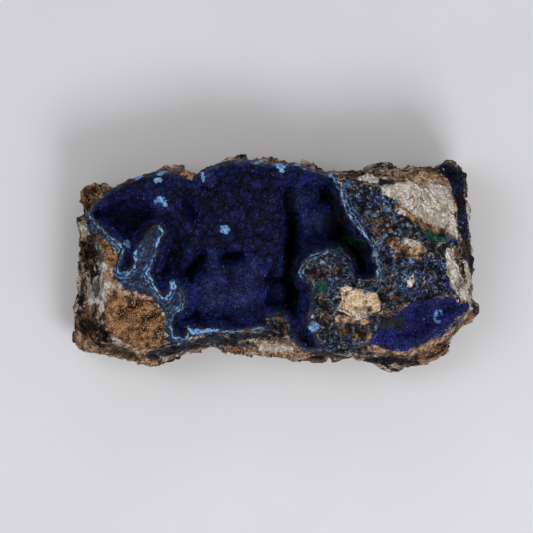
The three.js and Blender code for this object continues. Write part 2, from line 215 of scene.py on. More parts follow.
BALLS = [
    Ball(-14.7, -8, 18.6, 5.8),
    Ball(-7, -9, 14.8, 6.4),
    Ball(-5.5, -2.2, 19.4, 4),
    Ball(-14.1, 0.6, 17.2, 2.6),
    Ball(0.4, -7.6, 14.5, 2.6),
    Ball(5.9, 15.5, 15.6, 4.2),
    Ball(9.8, 9.2, 13.2, 5.2),
    Ball(-27.2, 13, 18.8, 2.6),
    Ball(-15.7, 19.4, 23.2, 2.2),
]


class Zone(Enum):
    """What the rock shows where."""

    IRON = "iron"
    TAN = "tan"
    PINK = "pink"
    SLATE = "slate"
    BLUE = "blue"
    PEACH = "peach"
    CALCITE = "calcite"
    MANGANESE = "manganese"
    MALACHITE = "malachite"
    SKY = "sky"
    ROYAL = "royal"


# Azurite along the pocket's right edge and between the calcite and the end seam.
BLUE_MARGINS = [
    Stroke(38, -17.9, 44, -13.7, 0.8),
    Stroke(41.2, 4.7, 42.4, 3.8, 1.0),
    Stroke(44, 1, 45, 0.6, 0.7),
]
# Strokes on plan that each zone is made of; the outlines below add its larger patches.
ZONE_STROKES: dict[Zone, list[Stroke]] = {
    Zone.IRON: [
        Stroke(-44, 15.5, -38.5, 16.2, 2.6),  # upper left corner
        Stroke(-44.4, 3.4, -43, -2.6, 2.0),  # left end
        Stroke(-45, -15.2, -40.4, -18.2, 2.2),
        Stroke(20.7, 22.5, 28.1, 22.1, 0.9),  # upper right edge
        Stroke(24.5, 8.5, 26.5, 6, 2.6),  # among the grains right of the deep hole
        Stroke(27, -7.5, 28.6, -9.5, 1.6),  # brown lens above the pocket
        Stroke(11.4, -8, 12, -13.5, 1.1),  # left slope of the island
        Stroke(8.5, -3.4, 13.5, -2.2, 1.2),  # its upper slope
        Stroke(-10.5, -20.6, -8, -21.4, 1.4),  # ledge below the vug
        Stroke(6.5, -21.4, 8.5, -21.2, 1.1),  # the same, further right
        Stroke(37.5, -21.2, 39.4, -20.2, 1.2),  # lower right corner
        Stroke(-35, -17.2, -30, -18.5, 1.5),  # foot of the tan mass
        Stroke(-39.4, -13.5, -37.4, -16, 1.1),
    ],
    Zone.TAN: [
        Stroke(-41, 5.5, -38.5, 0, 1.7),  # beside the left arm
        Stroke(-28, 21.2, -19, 21.6, 1.5),  # knob on the upper edge
        Stroke(-4, 24.4, 4, 24, 1.2),  # upper middle edge
        Stroke(7, 22.9, 14, 21.6, 0.9),  # the same, further right
        Stroke(43.5, -16.5, 46.5, -13, 0.9),  # right end of the pocket's rim
        Stroke(28.6, 12.9, 31, 10.9, 0.7),  # along the calcite's lower edge
        Stroke(31.2, 10.6, 33.6, 9, 0.6),
        Stroke(33.8, 8.7, 39.2, 6.6, 0.6),
        Stroke(19.4, -17.2, 21.6, -17.7, 0.9),  # lens at the island's foot
    ],
    Zone.PINK: [
        Stroke(-45, -19.8, -30, -23.2, 2.5),  # lower left band
        Stroke(-26, -22.8, -17, -20.6, 1.0),  # its thin right end
        Stroke(-6, -20.6, 5, -21.4, 1.7),  # ledge below the vug
        Stroke(7, -22.6, 15, -22.9, 0.7),  # under the island
        Stroke(21, -20.6, 26.2, -21.4, 0.7),  # band that follows the pocket's lower edge
        Stroke(26.2, -21.5, 32, -21.7, 0.8),
        Stroke(32, -21.6, 36, -20.2, 0.8),
        Stroke(36, -20.1, 39.9, -17.9, 0.7),
        Stroke(39.9, -17.8, 43.8, -14.7, 0.6),
        Stroke(28.8, 3.6, 33.4, 2.8, 1.7),  # patch right of the deep hole
        Stroke(32.2, 1.6, 33.4, 1.2, 0.8),
        Stroke(29, 20, 39.5, 20, 1.7),  # band above the calcite
        Stroke(15, -13.6, 21, -14.2, 0.8),  # foot of the plateau
        Stroke(-38.5, -7, -30.5, -8.3, 0.8),  # upper edge of the tan mass
    ],
    Zone.SLATE: [
        Stroke(-29.2, -22.3, -19, -19.8, 1.2),  # strip under the vug's lower rim
        Stroke(-19, -19.6, -7, -18, 1.3),
        Stroke(-7, -17.5, 1.5, -16.9, 0.9),
        Stroke(-1.2, -15, 0.8, -15.6, 1.4),  # knob in the breach
        Stroke(-9, -19.6, -5, -19.8, 0.6),
        Stroke(40.4, 23.4, 43, 22.2, 0.9),  # margin of the end seam
        Stroke(43, 22.2, 44.8, 18.6, 0.9),
        Stroke(44.8, 18.6, 45, 15.4, 0.5),
        Stroke(22, -23.4, 31, -23.6, 1.0),  # under the pocket
        Stroke(23.6, 18.8, 27.4, 18.4, 0.9),  # slot in the calcite's upper edge
        Stroke(27.6, 18.6, 31.4, 18.7, 0.25),
        Stroke(16.5, 21.2, 22, 21.6, 0.3),
        Stroke(46, 2, 46.4, -3, 0.9),  # right edge
        Stroke(46.3, -9.5, 47.4, -12.2, 0.8),
        Stroke(25, -14.2, 29.5, -14.6, 1.4),  # dull patch at the head of the pocket
        Stroke(29.3, 21.9, 36.3, 22.4, 0.4),
    ],
    Zone.BLUE: [
        Stroke(15, -21, 22, -21.5, 1.0),  # lower edge of the island
        Stroke(-44.2, 10.6, -42.2, 6.6, 1.1),  # beside the left arm
        *BLUE_MARGINS,
        Stroke(-13, -19.3, -9.6, -19, 0.5),
    ],
    Zone.ROYAL: [
        Stroke(32, -1.6, 38.5, -1.8, 2.2),  # around the dark cavities
        Stroke(38.5, -1.8, 39.6, -6, 1.8),
        Stroke(28.5, -7.6, 37, -7.6, 1.6),
        Stroke(19.5, 14.8, 24.5, 14.6, 1.5),
        Stroke(11.5, -0.8, 14, -4.5, 1.3),
        Stroke(10.8, -19.8, 13, -21, 0.9),
        *BLUE_MARGINS,
    ],
    Zone.PEACH: [],
    Zone.CALCITE: [
        Stroke(-45.6, 8.4, -44, 4.6, 0.9),  # left end
        Stroke(-42.2, 4.4, -39.8, -1.4, 0.7),
        Stroke(-38.8, -5.6, -36.6, -6.6, 0.7),
        Stroke(-41.4, -1, -42.2, -9, 1.2),
        Stroke(-44.2, -3, -43.5, -10, 0.6),
        Stroke(-39.6, -5, -41, -12.5, 0.5),
        Stroke(17.6, 20.9, 23.5, 18.9, 0.9),  # left tip of the vein
        Stroke(30.4, 4.6, 33, 3.9, 0.8),  # pale patch right of the deep hole
        Stroke(28.8, 11.8, 30.4, 11.2, 0.6),
        Stroke(31.9, -3.8, 31.7, -5.4, 0.75),  # eye in the blue ground
        Stroke(19.3, -13.1, 22, -12.8, 0.6),  # foot of the plateau
        Stroke(-3, -20.4, 3.5, -20.9, 0.7),  # ledge below the vug
        Stroke(9.5, -22.6, 13.5, -22.9, 0.4),
        Stroke(45.3, 13.4, 45.7, 4, 0.7),  # strip outside the seam
        Stroke(44.8, -0.5, 46, -6, 0.6),
    ],
    Zone.MANGANESE: [
        Stroke(-44.4, 3.4, -43, -2.6, 1.8),  # left end
        Stroke(-45, -15.2, -40.4, -18.2, 2.1),
        Stroke(-46.4, -9, -46, -12, 0.7),
        Stroke(-44.4, 15.8, -42.4, 16, 0.8),  # specks in the upper left corner
        Stroke(36.5, -1, 38.5, -2.5, 1.0),  # dark cavities in the blue ground
        Stroke(28.6, -1.6, 29.6, -3.4, 0.7),
        Stroke(8.2, -2.7, 9.4, -2.2, 0.9),  # pit at the island's upper left
        Stroke(14, 17, 15.5, 19, 0.4),
        Stroke(9, 22.6, 12, 21.6, 0.5),  # upper middle edge
        Stroke(29.6, -23.8, 33, -24.4, 0.7),
        Stroke(26, 5.2, 27, 5.8, 0.4),
    ],
    Zone.MALACHITE: [
        Stroke(35.9, 6.1, 39.4, 5.3, 0.95),
        Stroke(10.2, -5.9, 11.4, -6.2, 1.2),
        Stroke(12.4, 2.6, 15.4, 2.4, 0.8),
        Stroke(17.6, 5, 20, 3.6, 1.5),
        Stroke(19.6, 1.6, 21, -1.6, 1.3),
    ],
    Zone.SKY: [
        Stroke(9.1, -15.4, 9.2, -15.3, 1.15),  # pale blue ball at the island's lower left
        Stroke(31.9, 0.1, 32, 0.1, 0.6),
        Stroke(27.3, 2.1, 27.4, 2.1, 0.35),
        Stroke(25.7, 5.9, 25.8, 5.9, 0.5),
        Stroke(0.9, 22.5, 2.1, 22.3, 0.5),
        Stroke(23.6, 15.2, 26.6, 13.8, 0.25),
    ],
}
ZONE_OUTLINES: dict[Zone, list[list[Point]]] = {
    Zone.IRON: [
        [(15.2, -12.5), (18, -13), (22, -12.5), (23.6, -12.5), (22.5, -14.5), (21.5, -17), (20, -18.2),
         (16, -18.2), (13.8, -16), (14.2, -13.6)],
    ],
    Zone.TAN: [
        [(-39.6, -6.5), (-37, -6.3), (-34.5, -7), (-32, -8.5), (-29, -9.5), (-27.5, -11.5), (-26, -13),
         (-26, -17), (-26.2, -19.2), (-30, -20.2), (-34, -20), (-38, -17), (-40, -14), (-39, -10)],
    ],
    Zone.BLUE: [
        [(15.5, 19.5), (24.5, 17.5), (28, 15.5), (31, 12), (33, 9.5), (36, 7.6), (41, 5.6), (40.6, 0),
         (41, -5), (43, -8), (38, -8.6), (33, -9.4), (29, -11), (25.5, -13), (24.5, -8), (24.5, -1),
         (23, 2.5), (19, 8.5), (16.5, 12.5)],
        [(5.4, -3.2), (7.6, 0.8), (9, 1.8), (12, 2.4), (15.6, 2.2), (17.6, 0.2), (17.9, -2.4), (18.9, -4),
         (21.5, -4.4), (24.8, -3.6), (25.4, -12), (24, -17), (22, -21.2), (16, -21.8), (10.8, -21.5),
         (9.8, -16.8), (8.8, -12), (9.4, -5.6)],
    ],
    Zone.PEACH: [
        [(15.2, -6.2), (17, -5.9), (20, -6.6), (23.5, -7.6), (24.7, -9), (24.5, -11.5), (22, -12.5),
         (18, -13), (14.5, -11.5), (15.5, -9)],
    ],
    Zone.CALCITE: [
        [(24.6, 17.7), (27, 17.8), (31, 18.3), (35, 18.2), (39, 17.9), (41, 17), (41.8, 13), (42.3, 8),
         (43.6, 4.6), (45, 2.6), (42.8, 5), (41, 6.6), (38.4, 7.8), (35.5, 9.2), (32.8, 10.6), (30.4, 12.4),
         (28.4, 14), (26.4, 15), (24.7, 15.9)],
        [(39.9, 3.4), (41.2, 2.8), (42.6, -1), (44.5, -4.6), (46.4, -9), (46.6, -11.5), (45.8, -11.5),
         (43.4, -8.5), (41, -6), (40.3, -2)],
    ],
}
# Pale blue spots on the lining, and where its broken rim shows pale blue bands.
SKY_SPOTS = [
    Stroke(0.9, 22.4, 2, 22.2, 0.6),
    Stroke(1.4, 21.9, 1.5, 21.4, 0.6),
    Stroke(-20.3, -15.6, -19.2, -16.8, 0.4),
    Stroke(-19.2, -16.8, -15, -16.3, 0.3),
    Stroke(-15, -16.3, -12.5, -16.1, 0.22),
    Stroke(-32.6, 19.5, -31.2, 20.1, 0.4),
    Stroke(-28, 18.9, -26.9, 19.1, 0.55),
    Stroke(-27.2, 20.6, -25.6, 21.3, 0.5),
    Stroke(-17, 20.3, -16.9, 19, 0.4),
    Stroke(-28.1, 14, -27, 14.7, 0.45),
    Stroke(-27, 14.7, -26.1, 14.1, 0.5),
    Stroke(-26.1, 14.1, -25.8, 13.1, 0.45),
    Stroke(-11.9, 7.5, -11.7, 7.4, 1.0),
    Stroke(-35, 4.4, -34.5, 3.6, 0.55),
    Stroke(-24.1, -5.4, -23.6, -6, 0.7),
    Stroke(9.1, -15.4, 9.2, -15.3, 1.15),
]
POCKET_RING = [
    Stroke(39.2, -12.4, 38.9, -11.7, 0.3),
    Stroke(38.9, -11.7, 38.1, -11.9, 0.32),
    Stroke(38.1, -11.9, 37.5, -13.2, 0.38),
    Stroke(37.5, -13.2, 37.7, -14.3, 0.4),
    Stroke(37.7, -14.3, 38.5, -14.2, 0.34),
]
# Parts of the vug's floor darkened with painted shadow: the crevices by the balls, the gorge and the deep
# hole.
PAINTED_SHADOWS = [
    Stroke(12.4, 18, 14, 13.5, 1.5, 0.8),
    Stroke(14, 13.5, 16.6, 9, 1.9, 0.9),
    Stroke(14.5, 8.5, 20, 1, 4.6, 1.0),
    Stroke(20, 1, 21.5, -3, 3.2, 0.6),
    Stroke(3.4, 16, 4.2, 7, 2.2, 0.9),
    Stroke(4.2, 7, 3.4, -11, 2.6, 0.9),
    Stroke(-20.6, -1.6, -17.8, 0.6, 1.8, 0.8),
    Stroke(-12, 0.8, -8.6, 0.8, 1.5, 0.8),
]
BANDED_RIMS = [
    Stroke(-42, 9, -33, 1, 4.5, 1.0),
    Stroke(-25.6, 7, -28.4, -3, 2.6, 1.0),
    Stroke(-29, 0, -34, -4, 2.4, 0.8),
    Stroke(-36, -3.5, -28, -4, 3.5, 1.0),
    Stroke(-27, -6, -22, -12, 4.0, 1.0),
    Stroke(-24, -13, -22, -18, 3.2, 0.8),
    Stroke(-20.5, -17, -13, -16.4, 2.0, 1.0),
    Stroke(-13, -16.4, -3, -16, 1.6, 0.45),
    Stroke(-11, 23.4, 3, 22.5, 1.6, 0.35),
    Stroke(3, 22.6, 11, 21, 1.6, 0.45),
    Stroke(14, 20, 16, 14, 2.0, 1.0),
    Stroke(16, 14, 24, 2.5, 2.0, 1.0),
    Stroke(24, 2, 24, -4, 1.8, 0.6),
    Stroke(7, 0.6, 12, 2.2, 1.4, 0.4),
    Stroke(6, -1, 6, -3, 1.6, 0.7),
    Stroke(3, -14, 8, -21, 1.4, 0.5),
]


def plan_distance(outline: list[Point], x: Array, y: Array) -> Array:
    """Signed distance on plan from each point to an outline, negative inside it."""
    nearest = np.full(x.shape, np.inf)
    inside = np.zeros(x.shape, bool)
    for (ax, ay), (bx, by) in zip(outline, outline[1:] + outline[:1]):
        nearest = np.minimum(nearest, Stroke(ax, ay, bx, by, 0).distance(x, y))
        rise = by - ay if by != ay else 1e-9
        inside ^= ((ay > y) != (by > y)) & (x < ax + (bx - ax) * (y - ay) / rise)
    return np.where(inside, -nearest, nearest)


def smoothstep(t: Array) -> Array:
    """Smooth rise from 0 to 1 as t goes from 0 to 1."""
    t = np.clip(t, 0, 1)
    return t * t * (3 - 2 * t)


def merged(forms: list[Stroke], x: Array, y: Array) -> Array:
    """Landforms of one kind merged into one height."""
    return sum(form.swell(x, y) ** BLEND for form in forms) ** (1 / BLEND)


def smooth_max(a: Array, b: Array, width: float) -> Array:
    """Larger of two fields, with the corner between them rounded over a width."""
    h = np.clip(0.5 + 0.5 * (a - b) / width, 0, 1)
    return b + (a - b) * h + width * h * (1 - h)


class Noise:
    """Seeded noise in three dimensions, sampled at points given in millimetres."""

    TABLE = 256

    def __init__(self, seed: int) -> None:
        """Fills the tables of random numbers.

        Args:
            seed: fixed seed, so that every run gives the same noise.
        """
        random = np.random.default_rng(seed)
        self.order = np.tile(random.permutation(self.TABLE), 3)
        slopes = random.normal(size=(self.TABLE, 3))
        self.slopes = slopes / np.linalg.norm(slopes, axis=1, keepdims=True)
        self.jitter = random.random((self.TABLE, 3))
        self.tilts = random.normal(size=(self.TABLE, 3))

    def entry(self, cell: Array) -> Array:
        """Table entry of each lattice cell."""
        x, y, z = (cell.astype(int) & (self.TABLE - 1)).T
        return self.order[self.order[self.order[x] + y] + z]

    def waves(self, points: Array, size: float) -> Array:
        """Smooth noise from about -1 to 1 with features of a size."""
        places = points / size
        base = np.floor(places)
        part = places - base
        ease = part**3 * (part * (part * 6 - 15) + 10)
        total = np.zeros(len(points))
        for corner in np.ndindex(2, 2, 2):
            step = np.array(corner)
            weight = np.prod(np.where(step, ease, 1 - ease), axis=1)
            slope = self.slopes[self.entry(base + step)]
            total += weight * np.einsum("ij,ij->i", slope, part - step)
        return total * 1.6

    def rough(self, points: Array, size: float, octaves: int, gain: float = 0.5) -> Array:
        """Waves of halving size and shrinking height, added up."""
        return sum(gain**i * self.waves(points + 7.3 * i, size / 2**i) for i in range(octaves))

    def cells(self, points: Array, size: float) -> tuple[Array, Array, Array]:
        """Scattered cells of a size.

        Args:
            points: places in millimetres.
            size: width of a cell.

        Returns:
            The distances to the nearest and second-nearest cell centre, in cell widths, and a tilted facet's
            height from about -1 to 1.
        """
        places = points / size
        base = np.floor(places)
        first = np.full(len(points), 9.0)
        second = first.copy()
        facet = np.zeros(len(points))
        for shift in np.ndindex(3, 3, 3):
            cell = base + np.array(shift) - 1
            entry = self.entry(cell)
            offset = places - cell - self.jitter[entry]
            distance = np.sqrt(np.einsum("ij,ij->i", offset, offset))
            tilt = self.tilts[entry]
            height = np.einsum("ij,ij->i", tilt, offset) * 0.7 + tilt[:, 0] * 0.4
            nearer = distance < first
            second = np.where(nearer, first, np.minimum(second, distance))
            facet = np.where(nearer, height, facet)
            first = np.where(nearer, distance, first)
        return first, second, facet

    def domes(self, points: Array, size: float) -> Array:
        """Heights of crowded round domes, 1 on their crowns and least in the creases between them."""
        first = self.cells(points, size)[0]
        return np.sqrt(np.clip(1 - first**2, 0, 1))


HEAVE_NOISE = Noise(11)


def on_plan(x: Array, y: Array) -> Array:
    """Points on plan as a list of points in space."""
    return np.stack([x.ravel(), y.ravel(), np.zeros(x.size)], axis=1)


def rock_top(x: Array, y: Array) -> Array:
    """Height of the rock's broken top face, as if nothing were hollowed out of it."""
    places = on_plan(x, y)
    facets = FACET_HEIGHT * HEAVE_NOISE.cells(places, FACET_SIZE)[2]
    heave = facets + HEAVE_HEIGHT * HEAVE_NOISE.rough(places, HEAVE_SIZE, 3)
    level = ROCK_LEVEL - merged(SLOPES, x, y) + merged(RISES, x, y)
    return smooth_max(level, np.full(x.shape, LEDGE_LEVEL), LEDGE_ROUNDING) + heave.reshape(x.shape)


def lining_top(x: Array, y: Array) -> Array:
    """Height of the vug's lining with its balls."""
    inwards = smoothstep(-plan_distance(HOLLOW_OUTLINE, x, y) / RIM_WALL)
    floor = rock_top(x, y) - inwards * (RIM_DROP + merged(BASINS, x, y))
    for ball in BALLS:
        floor = np.maximum(floor, ball.crown(x, y))
    return floor


def pocket_top(x: Array, y: Array) -> Array:
    """Height of the dish of azurite in the corner pocket."""
    return rock_top(x, y) - POCKET_DEPTH * smoothstep(-plan_distance(POCKET_OUTLINE, x, y) / POCKET_WALL)


def seam_top(x: Array, y: Array) -> Array:
    """Height of the seam's crystals at the right-hand end."""
    return rock_top(x, y) + SEAM_PROUD


@dataclass
class Skin:
    """A closed surface in millimetres: its points and its four-sided faces."""

    points: Array
    quads: Array

    def normals(self) -> Array:
        """Outward normal at each point."""
        a, b, c, d = (self.points[self.quads[:, i]] for i in range(4))
        across = np.cross(c - a, d - b)
        corners = self.quads.ravel()
        sums = [np.bincount(corners, np.repeat(across[:, axis], 4), len(self.points)) for axis in range(3)]
        total = np.stack(sums, axis=1)
        return total / np.maximum(np.linalg.norm(total, axis=1, keepdims=True), 1e-9)

    def raised(self, amount: Array) -> "Skin":
        """The surface with each point moved outwards along its normal."""
        return Skin(self.points + self.normals() * amount[:, None], self.quads)

    def mean(self, numbers: Array) -> Array:
        """Mean over each face of numbers kept at the points."""
        return numbers[self.quads].mean(axis=1)

    def least(self, numbers: Array) -> Array:
        """Least over each face of numbers kept at the points."""
        return numbers[self.quads].min(axis=1)

    def most(self, numbers: Array) -> Array:
        """Most over each face of numbers kept at the points."""
        return numbers[self.quads].max(axis=1)


@dataclass(frozen=True)
class Block:
    """A block of space in millimetres, sampled on a cubic grid, in which a solid is described by a field."""

    low: tuple[float, float, float]
    high: tuple[float, float, float]
    cell: float

    def axes(self) -> tuple[Array, Array, Array]:
        """Grid places along x and y as a plan, and along z."""
        x, y, z = (np.arange(a, b + self.cell, self.cell) for a, b in zip(self.low, self.high))
        plan_x, plan_y = np.meshgrid(x, y, indexing="ij")
        return plan_x, plan_y, z

    def skin(self, field: Array) -> Skin:
        """Surface where the field goes from negative, inside, to positive.

        Args:
            field: the field's value at every grid place.

        Returns:
            The surface, with one point in each grid cell that it crosses.
        """
        inside = field < 0
        shape = np.array(field.shape) - 1
        count = sum(
            inside[i : i + shape[0], j : j + shape[1], k : k + shape[2]].astype(np.int8)
            for i, j, k in np.ndindex(2, 2, 2)
        )
        crossed = (count > 0) & (count < 8)
        number = np.full(crossed.shape, -1)
        number[crossed] = np.arange(np.count_nonzero(crossed))
        cells = np.argwhere(crossed)
        total = np.zeros(cells.shape)
        hits = np.zeros(len(cells))
        for axis in range(3):
            step = np.eye(3, dtype=int)[axis]
            for side in np.ndindex(2, 2):
                start = cells + np.insert(side, axis, 0)
                before = field[tuple(start.T)]
                after = field[tuple((start + step).T)]
                cut = (before < 0) != (after < 0)
                share = np.where(cut, before / np.where(cut, before - after, 1), 0)
                total += cut[:, None] * (start + share[:, None] * step)
                hits += cut
        points = np.array(self.low) + self.cell * total / hits[:, None]
        return Skin(points, np.concatenate([self.faces(inside, number, axis) for axis in range(3)]))

    @staticmethod
    def faces(inside: Array, number: Array, axis: int) -> Array:
        """Faces round the grid edges along one axis that the surface cuts.

        Args:
            inside: whether each grid place is inside the solid.
            number: the number of the point in each crossed cell.
            axis: the axis along which the edges run.

        Returns:
            Four point numbers for each face, in outward order.
        """
        u, v = (np.eye(3, dtype=int)[(axis + i) % 3] for i in (1, 2))
        starts = np.argwhere(np.diff(inside.astype(np.int8), axis=axis))
        starts = starts[(starts @ u > 0) & (starts @ v > 0)]
        ring = [number[tuple((starts - u - v).T)], number[tuple((starts - v).T)],
                number[tuple(starts.T)], number[tuple((starts - u).T)]]
        quads = np.stack(ring, axis=1)
        leaving = inside[tuple(starts.T)]
        return np.where(leaving[:, None], quads, quads[:, ::-1])


def slope_of(height: Array, cell: float) -> Array:
    """How much steeper than level a height map is, for turning height differences into distances."""
    along, across = np.gradient(height, cell)
    return np.minimum(np.sqrt(1 + along**2 + across**2), 4.0)[..., None]


def stroke_reach(strokes: list[Stroke], x: Array, y: Array) -> Array:
    """How far inside any of the strokes each point on plan is, negative outside them all."""
    return np.max([stroke.reach - stroke.distance(x, y) for stroke in strokes], axis=0)


def zone_reach(zone: Zone, x: Array, y: Array) -> Array:
    """How far inside a zone each point on plan is, negative outside it."""
    reaches = [-plan_distance(outline, x, y) for outline in ZONE_OUTLINES.get(zone, [])]
    if ZONE_STROKES[zone]:
        reaches.append(stroke_reach(ZONE_STROKES[zone], x, y))
    return np.max(reaches, axis=0)


def rim_strength(x: Array, y: Array) -> Array:
    """How strongly the pale blue bands of the broken rim show over each point, from 0 to 1."""
    return np.clip(merged(BANDED_RIMS, x, y) * 1.6, 0, 1)


@dataclass(frozen=True)
class Crust:
    """A crust of azurite: its edge on plan, its height over points on plan, and its sizes in millimetres."""

    outline: list[Point]
    top_of: Callable[[Array, Array], Array]
    thickness: float
    spread: float
    rounding: float

    def field(self, block: Block) -> Array:
        """Field of the crust on a block's grid, in millimetres, negative inside."""
        x, y, z = block.axes()
        top = self.top_of(x, y)
        over = (z - top[..., None]) / slope_of(top, block.cell)
        edge = (plan_distance(self.outline, x, y) - self.spread)[..., None]
        return np.maximum(smooth_max(edge, over, self.rounding), -over - self.thickness)


VUG_CRUST = Crust(LINING_OUTLINE, lining_top, 3.0, 0.2, 0.35)
POCKET_CRUST = Crust(POCKET_OUTLINE, pocket_top, 2.0, 0.15, 0.5)
SEAM_CRUST = Crust(SEAM_OUTLINE, seam_top, 2.5, 0.15, 0.5)


def put(name: str, data: bpy.types.ID) -> bpy.types.Object:
    """Object of a name, placed in the scene."""
    thing = bpy.data.objects.new(name, data)
    bpy.context.scene.collection.objects.link(thing)
    return thing


def make_mesh(name: str, points: Array, faces: Array, values: dict[str, Array]) -> bpy.types.Mesh:
    """Makes a mesh in metres.

    Args:
        name: the mesh's name.
        points: places in millimetres on the nominal block.
        faces: point numbers, as many to each face as the array has columns.
        values: numbers to keep at each point, by attribute name.

    Returns:
        The mesh, smooth shaded.
    """
    mesh = bpy.data.meshes.new(name)
    count, sides = faces.shape
    mesh.vertices.add(len(points))
    mesh.vertices.foreach_set("co", (points * UNIT).astype(np.float32).ravel())
    mesh.loops.add(count * sides)
    mesh.loops.foreach_set("vertex_index", faces.astype(np.int32).ravel())
    mesh.polygons.add(count)
    mesh.polygons.foreach_set("loop_start", np.arange(0, count * sides, sides, dtype=np.int32))
    mesh.polygons.foreach_set("use_smooth", np.ones(count, bool))
    mesh.update(calc_edges=True)
    for key, numbers in values.items():
        mesh.attributes.new(key, "FLOAT", "POINT").data.foreach_set("value", numbers.astype(np.float32))
    return mesh


def show(name: str, mesh: bpy.types.Mesh, slot: str, *replaced: str) -> bpy.types.Object:
    """Puts a finished piece in the scene.

    Args:
        name: the piece's name.
        mesh: its mesh, in place and with its material.
        slot: the record's material slot; not used.
        replaced: CAD nodes that it stands for.

    Returns:
        The piece.
    """
    piece = put(name, mesh)
    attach(piece, BODY)
    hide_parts(*replaced)
    LOG.info("%s: %d faces", name, len(mesh.polygons))
    return piece


@dataclass(frozen=True)
class Title:
    """What a CAD node's visual is called: the piece, the record's material slot and the node."""

    piece: str
    slot: str
    node: str

    def show(self, skin: Skin, values: dict[str, Array], finish: bpy.types.Material) -> None:
        """Shows a surface, with the numbers its finish reads, in place of the node."""
        mesh = make_mesh(self.piece, skin.points, skin.quads, values)
        mesh.materials.append(finish)
        show(self.piece, mesh, self.slot, self.node)


class Graph:
    """Short calls that add nodes to one tree and join them."""

    def __init__(self, tree: bpy.types.NodeTree) -> None:
        """Keeps the tree that the nodes are added to."""
        self.tree = tree

    def fill(self, node: bpy.types.Node, values: dict[str, object]) -> bpy.types.Node:
        """Feeds some of a node's inputs by name, and returns the node."""
        for name, value in values.items():
            self.feed(node.inputs[name], value)
        return node

    def feed(self, socket: bpy.types.NodeSocket, value: object) -> None:
        """Links a socket into another, or gives it a number or colour; None leaves it as it is."""
        if isinstance(value, bpy.types.NodeSocket):
            self.tree.links.new(value, socket)
        elif value is not None:
            socket.default_value = value

    def add(self, kind: str, *values: object, **settings: object) -> bpy.types.Node:
        """Adds a node.

        Args:
            kind: the node's type.
            values: what its inputs get, in order.
            settings: its properties.

        Returns:
            The node.
        """
        node = self.tree.nodes.new(kind)
        for name, value in settings.items():
            setattr(node, name, value)
        for socket, value in zip(node.inputs, values):
            self.feed(socket, value)
        return node

    def maths(self, operation: str, a: object, b: object = None, c: object = None) -> bpy.types.NodeSocket:
        """Result of one sum on numbers."""
        return self.add("ShaderNodeMath", a, b, c, operation=operation).outputs[0]

    def blend(self, share: object, a: object, b: object, mode: str = "MIX") -> bpy.types.NodeSocket:
        """Colour between two colours."""
        node = self.add("ShaderNodeMix", share, data_type="RGBA", blend_type=mode)
        self.feed(node.inputs[6], a)
        self.feed(node.inputs[7], b)
        return node.outputs[2]

    def over(self, colour: object, tint: object, share: object, other: object) -> bpy.types.NodeSocket:
        """Colour with a tint laid over it, by the product of two shares."""
        return self.blend(self.maths("MULTIPLY", share, other), colour, tint)

    def shaded(self, colour: object, amount: object) -> bpy.types.NodeSocket:
        """Colour made darker or lighter by an amount, 1 leaving it as it is."""
        return self.blend(1.0, colour, self.grey(amount), "MULTIPLY")

    def ease(self, value: object, low: object, high: object,
             start: float = 0, end: float = 1) -> bpy.types.NodeSocket:
        """Smooth rise from start to end as a value goes from low to high."""
        settings = {"interpolation_type": "SMOOTHSTEP"}
        return self.add("ShaderNodeMapRange", value, low, high, start, end, **settings).outputs[0]

    def noise(self, place: object, size: object, detail: float, seed: float) -> bpy.types.NodeSocket:
        """Noise from 0 to 1 with features of a size in millimetres."""
        scale = self.maths("DIVIDE", 1, size) if isinstance(size, bpy.types.NodeSocket) else 1 / size
        node = self.add("ShaderNodeTexNoise", place, seed, scale, detail, 0.6, noise_dimensions="4D")
        return node.outputs[0]

    def mottle(self, place: object, size: float, detail: float, seed: float, low: float, high: float,
               start: float = 0, end: float = 1) -> bpy.types.NodeSocket:
        """Patches of a size: noise eased from start to end as it goes from low to high."""
        return self.ease(self.noise(place, size, detail, seed), low, high, start, end)

    def cells(self, place: object, size: object, **settings: object) -> bpy.types.Node:
        """Pattern of scattered cells of a size in millimetres."""
        node = self.add("ShaderNodeTexVoronoi", place, **settings)
        self.feed(node.inputs["Scale"], self.maths("DIVIDE", 1, size))
        return node

    def off_line(self, phase: object) -> bpy.types.NodeSocket:
        """How far a growing number is from the nearest half, for lines at every whole step."""
        part = self.maths("FRACT", phase)
        return self.maths("ABSOLUTE", self.maths("SUBTRACT", part, 0.5))

    def swayed(self, place: object, size: float, reach: float) -> bpy.types.NodeSocket:
        """Place pushed about by noise of a size, so that a pattern laid on it runs crookedly."""
        node = self.add("ShaderNodeTexNoise", place)
        node.inputs["Scale"].default_value = 1 / size
        push = self.add("ShaderNodeVectorMath", node.outputs["Color"], operation="SCALE")
        push.inputs["Scale"].default_value = reach
        return self.add("ShaderNodeVectorMath", place, push.outputs[0], operation="ADD").outputs[0]

    def shifted(self, place: object, step: float) -> bpy.types.NodeSocket:
        """Place moved by the same step along each axis, for a second copy of a pattern."""
        return self.add("ShaderNodeVectorMath", place, (step, step, step), operation="ADD").outputs[0]

    def grey(self, value: object) -> bpy.types.NodeSocket:
        """Number as a grey colour."""
        return self.add("ShaderNodeCombineColor", value, value, value).outputs[0]

    def attribute(self, name: str) -> bpy.types.NodeSocket:
        """Number kept at each point of the mesh."""
        return self.add("ShaderNodeAttribute", attribute_name=name).outputs["Fac"]

    def millimetres(self) -> bpy.types.NodeSocket:
        """Place on the piece in millimetres on the nominal block."""
        place = self.add("ShaderNodeTexCoord").outputs["Object"]
        node = self.add("ShaderNodeVectorMath", place, operation="SCALE")
        node.inputs["Scale"].default_value = 1 / UNIT
        return node.outputs[0]


